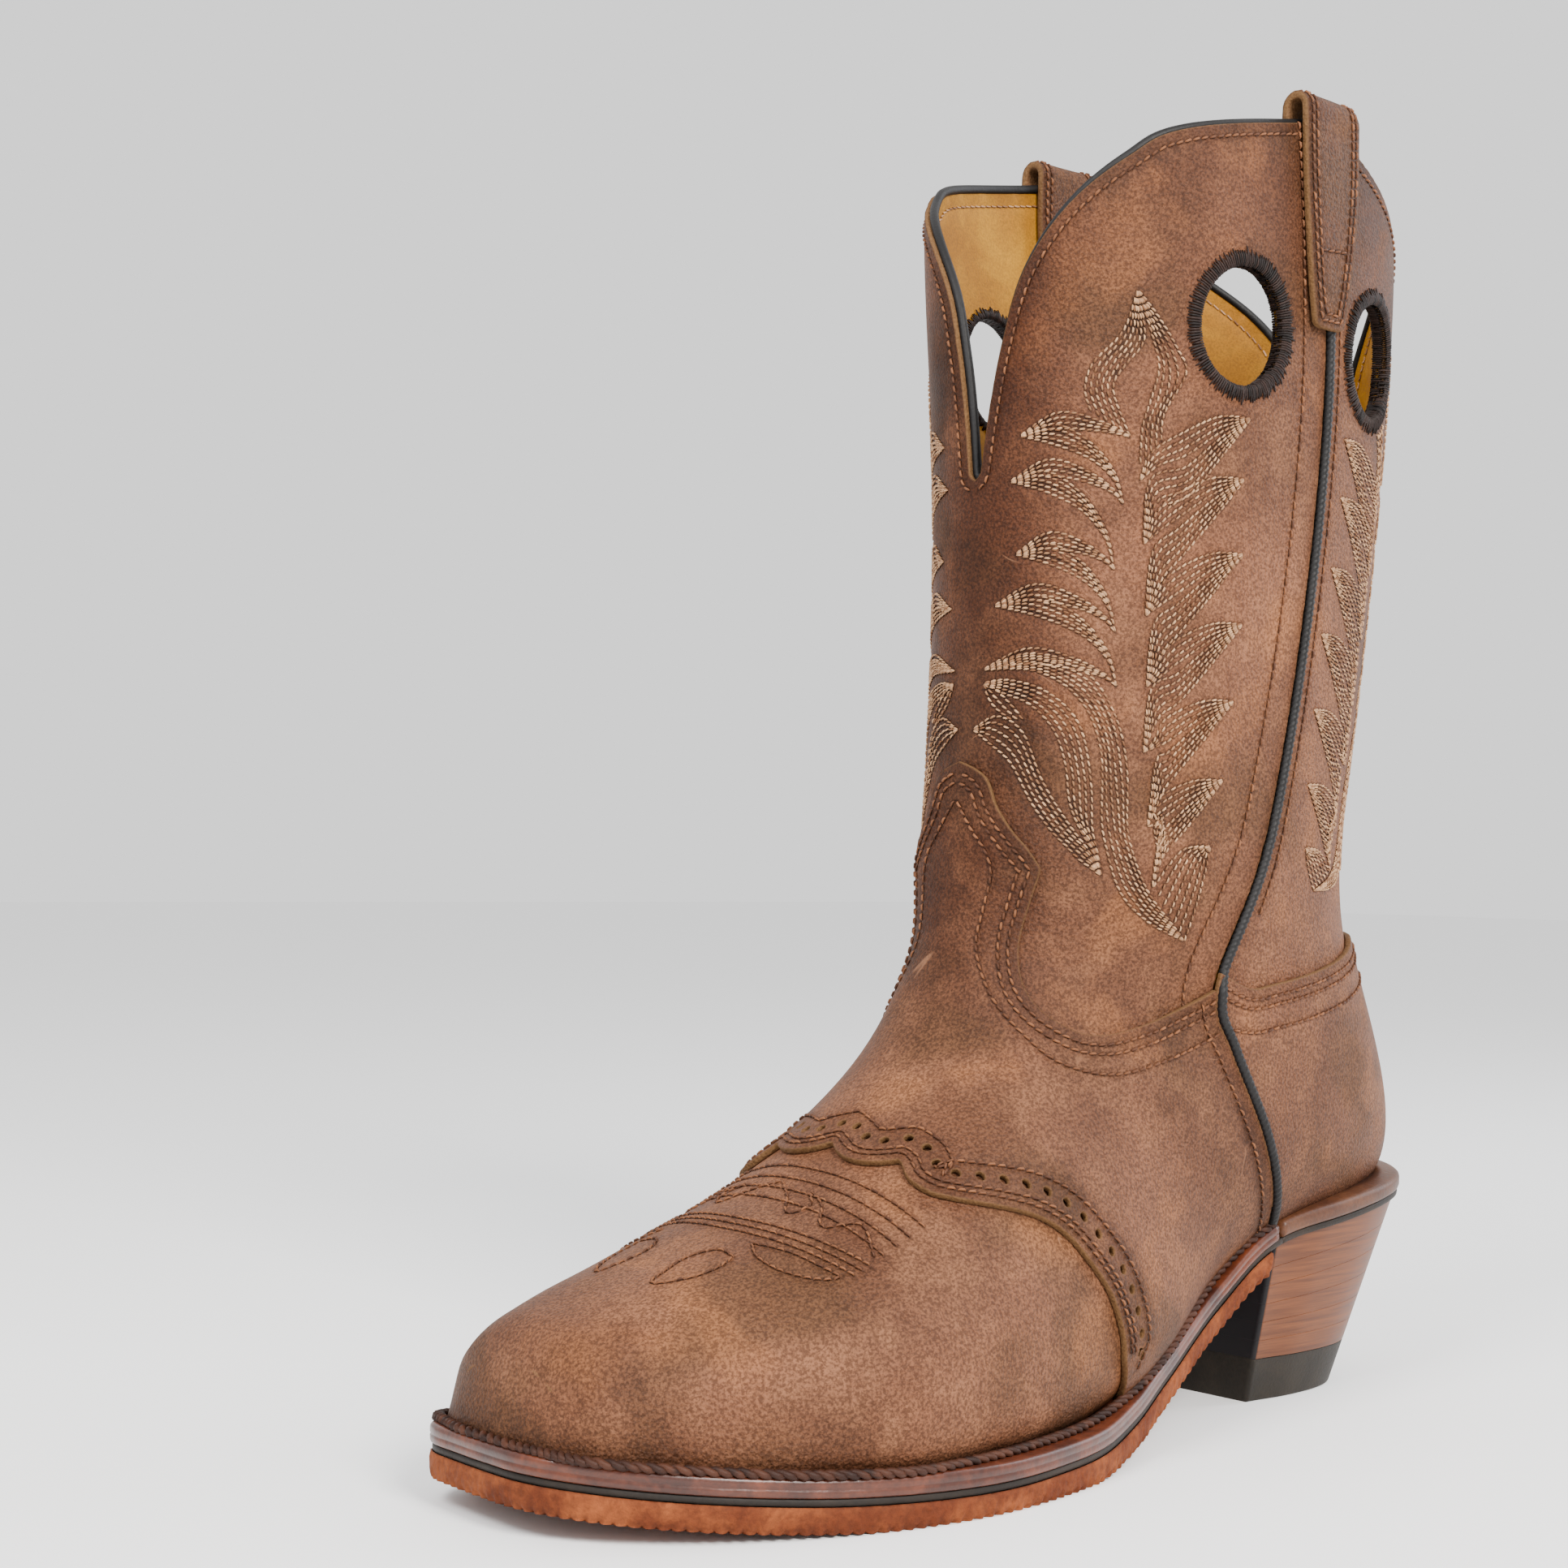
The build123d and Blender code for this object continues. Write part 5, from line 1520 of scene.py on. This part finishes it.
# down the outsole's edge: depth, inset, how far the tread's ridges bite in, roughness
OUTSOLE_EDGE = ((0.02, 0.5, 0, 0.0), (0.3, 0.1, 0, 0.05), (1.5, 0.0, 0, 0.08), (3.0, 0.0, 0, 0.08),
                (4.3, 0.0, 0.2, 0.10), (5.2, 0.0, 0.9, 0.12), (6.0, 0.2, 1.5, 0.10))
EDGE_PITCH, RIDGE_PITCH = 0.62, 3.1


def make_outsole():
    """Forepart of the outsole: rough sanded edge, with the tread's ridges biting into its lower corner."""
    top = WELT + MIDSOLE
    line = spaced(FORE_EDGE[FORE_EDGE[:, 0] > HEEL_BREAST_X], EDGE_PITCH)
    normal = outward(line)
    n, m = len(line), len(OUTSOLE_EDGE)
    ridge = np.abs((np.arange(n) * EDGE_PITCH / RIDGE_PITCH % 1.0) - 0.5) * 2
    rows = []
    for depth, inset, bite, rough in OUTSOLE_EDGE:
        in_here = inset + bite * ridge + RNG.normal(0, 1, n) * rough
        ring = at_depth(line - normal * in_here[:, None], depth + top)
        ring[:, 2] = np.maximum(ring[:, 2], 0.85 * (OUTSOLE - depth))
        rows.append(ring)
    faces = band(m, n).tolist()
    blocks = list(rows)
    count = m * n
    for ring_index, depth, flip in ((0, top, False), (m - 1, top + OUTSOLE, True)):
        points, caps, order = filled(rows[ring_index][::-1], flip)
        mapping = np.full(len(points), -1)
        mapping[order] = ring_index * n + np.arange(n)[::-1]
        free = np.nonzero(mapping < 0)[0]
        mapping[free] = count + np.arange(len(free))
        count += len(free)
        z = np.maximum(welt_top(points[free, 0]) - depth, 0.0)
        blocks.append(np.column_stack([points[free], z]))
        faces += mapping[caps].tolist()
    add_mesh("outsole_forepart", np.vstack(blocks), faces, OUTSOLE_LOOK, "outsole_leather", ["outsole"])


def heel_scale(z):
    """How much narrower the heel is at a height than at its seat."""
    return HEEL_FOOT + (1 - HEEL_FOOT) * z / HEEL_TOP_Z


BREAST_POINTS = 24


def heel_ring(height_at, inset):
    """A closed ring on the heel's side, where its height is the given function of x."""
    base = SEAT_EDGE
    z = np.full(len(base), 30.0)
    for _ in range(6):
        x = HEEL_BREAST_X + (base[:, 0] - HEEL_BREAST_X) * heel_scale(z)
        z = height_at(x)
    scale = heel_scale(z)
    line = np.column_stack([HEEL_BREAST_X + (base[:, 0] - HEEL_BREAST_X) * scale, base[:, 1] * scale])
    line = line - outward(line) * inset
    line[:, 0] = np.minimum(line[:, 0], HEEL_BREAST_X - inset)
    # the breast is a straight face between the two ends
    breast = line[-1] + (line[0] - line[-1]) * np.linspace(0, 1, BREAST_POINTS + 2)[1:-1, None]
    ring = np.vstack([line, breast])
    return np.column_stack([ring[:, 0], ring[:, 1] + AXIS_Y, height_at(ring[:, 0])])


def heel_layer(name, low_at, high_at, look, slot_name, nodes, corner=0.12):
    """One lift: its side between two heights, with its edges eased so that the joint shows as a fine line."""
    rows = []
    steps = ((0.0, 0.0, 4.0), (0.0, 0.0, 1.0), (0.0, 0.35, 0.3), (0.0, 1.0, 0.0), (0.0, 2.0, 0.0),
             (1.0, 2.0, 0.0),
             (1.0, 1.0, 0.0), (1.0, 0.35, 0.3), (1.0, 0.0, 1.0), (1.0, 0.0, 4.0))
    for share, rise, inset in steps:

        def height(x, share=share, ease=(rise if inset <= 1 else 0) * corner):
            low, high = low_at(x), high_at(x)
            return low + (high - low) * share + np.minimum(ease, (high - low) / 3) * (1 - 2 * share)

        rows.append(heel_ring(height, inset * corner))
    vertices = np.vstack(rows)
    m, n = len(rows), len(rows[0])
    breast = np.zeros(n)
    breast[-BREAST_POINTS - 1:] = 1
    breast[0] = 1
    faces = band(m, n).tolist()
    faces += [list(range(n)), list(range((m - 1) * n, m * n))[::-1]]
    add_mesh(name, vertices, faces, look, slot_name, nodes, {"breast": np.tile(breast, m)})


def make_heel():
    """The stack of lifts, the outsole over it and the rubber cap under it."""
    stack_top = WELT + MIDSOLE
    front_top = welt_top(HEEL_BREAST_X) - stack_top - OUTSOLE
    back_top = welt_top(REAR_X) - stack_top - OUTSOLE

    def lift_height(share):
        def height(x):
            along = (HEEL_BREAST_X - x) / (HEEL_BREAST_X - REAR_X)
            top = front_top + (back_top - front_top) * along
            return CAP + (top - CAP) * share
        return height

    for k in range(LIFTS):
        heel_layer(f"heel_lift_edge_{k + 1}", lift_height(k / LIFTS), lift_height((k + 1) / LIFTS),
                   HEEL_LOOK,
                   "heel_leather", [f"heel_lift_{k + 1}"])
    heel_layer("outsole_heel_part", lift_height(1.0), lambda x: welt_top(x) - stack_top - 0.02, HEEL_LOOK,
               "outsole_leather", [])
    heel_layer("heel_cap_rubber", lambda x: np.zeros_like(x), lambda x: np.full_like(x, CAP), CAP_LOOK,
               "cap_rubber",
               ["heel_cap"], 0.5)


# ================================================================ build
for shaft_place in HOLES:
    make_shaft(shaft_place)
for binding_side in ("left", "right"):
    side_cord(binding_side)
    make_strap(binding_side)
    for shaft_place in HOLES:
        overlock(shaft_place, binding_side)
make_saddle()
make_vamp()
make_counter()
make_welt()
welt_stitch()
make_outsole()
make_heel()


# ================================================================ stage, light and camera
def make_floor():
    mesh = bpy.data.meshes.new("floor")
    size = 6.0
    corners = [(-size, -size, 0), (size, -size, 0), (size, size, 0), (-size, size, 0)]
    mesh.from_pydata(corners, [], [(0, 1, 2, 3)])
    material, _, shader = node_material("pale_floor")
    shader.inputs["Base Color"].default_value = (0.93, 0.93, 0.93, 1)
    shader.inputs["Roughness"].default_value = 0.7
    mesh.materials.append(material)
    floor = bpy.data.objects.new("floor", mesh)
    bpy.context.scene.collection.objects.link(floor)


def area_light(name, place, aim, size, power, colour=(1, 1, 1)):
    data = bpy.data.lights.new(name, "AREA")
    data.shape = "RECTANGLE"
    data.size, data.size_y = size
    data.energy = power
    data.color = colour
    light = bpy.data.objects.new(name, data)
    light.location = place
    light.rotation_euler = (Vector(aim) - Vector(place)).to_track_quat("-Z", "Y").to_euler()
    bpy.context.scene.collection.objects.link(light)


def make_lights():
    """Soft white surroundings, a key from the lateral side, and two weak fills."""
    world = bpy.data.worlds.new("studio")
    world.use_nodes = True
    world.node_tree.nodes["Background"].inputs["Color"].default_value = (1, 1, 1, 1)
    world.node_tree.nodes["Background"].inputs["Strength"].default_value = 1.3
    bpy.context.scene.world = world
    aim = (0.0, 0.0, 0.15)
    area_light("key", (0.25, 1.15, 0.95), aim, (0.5, 0.5), 36, (1.0, 0.97, 0.93))
    area_light("toe_top", (0.75, 0.15, 0.9), aim, (0.35, 0.35), 10)
    area_light("back_rim", (-1.1, 0.35, 0.7), aim, (0.5, 1.1), 9, (0.88, 0.92, 1.0))


EYE = (0.4546, 0.4516 + AXIS_Y / 1000, 0.1457)
LOOK = (0.8157, 0.0090, 0.0152)  # yaw, pitch and roll in radians
LENS = 57.16
SHIFT = (-0.079, 0.0634)


def make_camera():
    """The photograph's view: from in front of the toe on the lateral side, a hand above the floor."""
    data = bpy.data.cameras.new("camera")
    data.sensor_width = 36
    data.lens = LENS
    data.shift_x, data.shift_y = SHIFT
    camera = bpy.data.objects.new("camera", data)
    yaw, pitch, roll = LOOK
    forward = Vector((-math.cos(yaw) * math.cos(pitch), -math.sin(yaw) * math.cos(pitch),
                      -math.sin(pitch)))
    right = Vector((-math.sin(yaw), math.cos(yaw), 0))
    up = right.cross(forward)
    turned_right = right * math.cos(roll) + up * math.sin(roll)
    turned_up = up * math.cos(roll) - right * math.sin(roll)
    turn = Matrix((turned_right, turned_up, -forward)).transposed()
    camera.matrix_world = Matrix.Translation(EYE) @ turn.to_4x4()
    bpy.context.scene.collection.objects.link(camera)
    bpy.context.scene.camera = camera


make_floor()
make_lights()
make_camera()
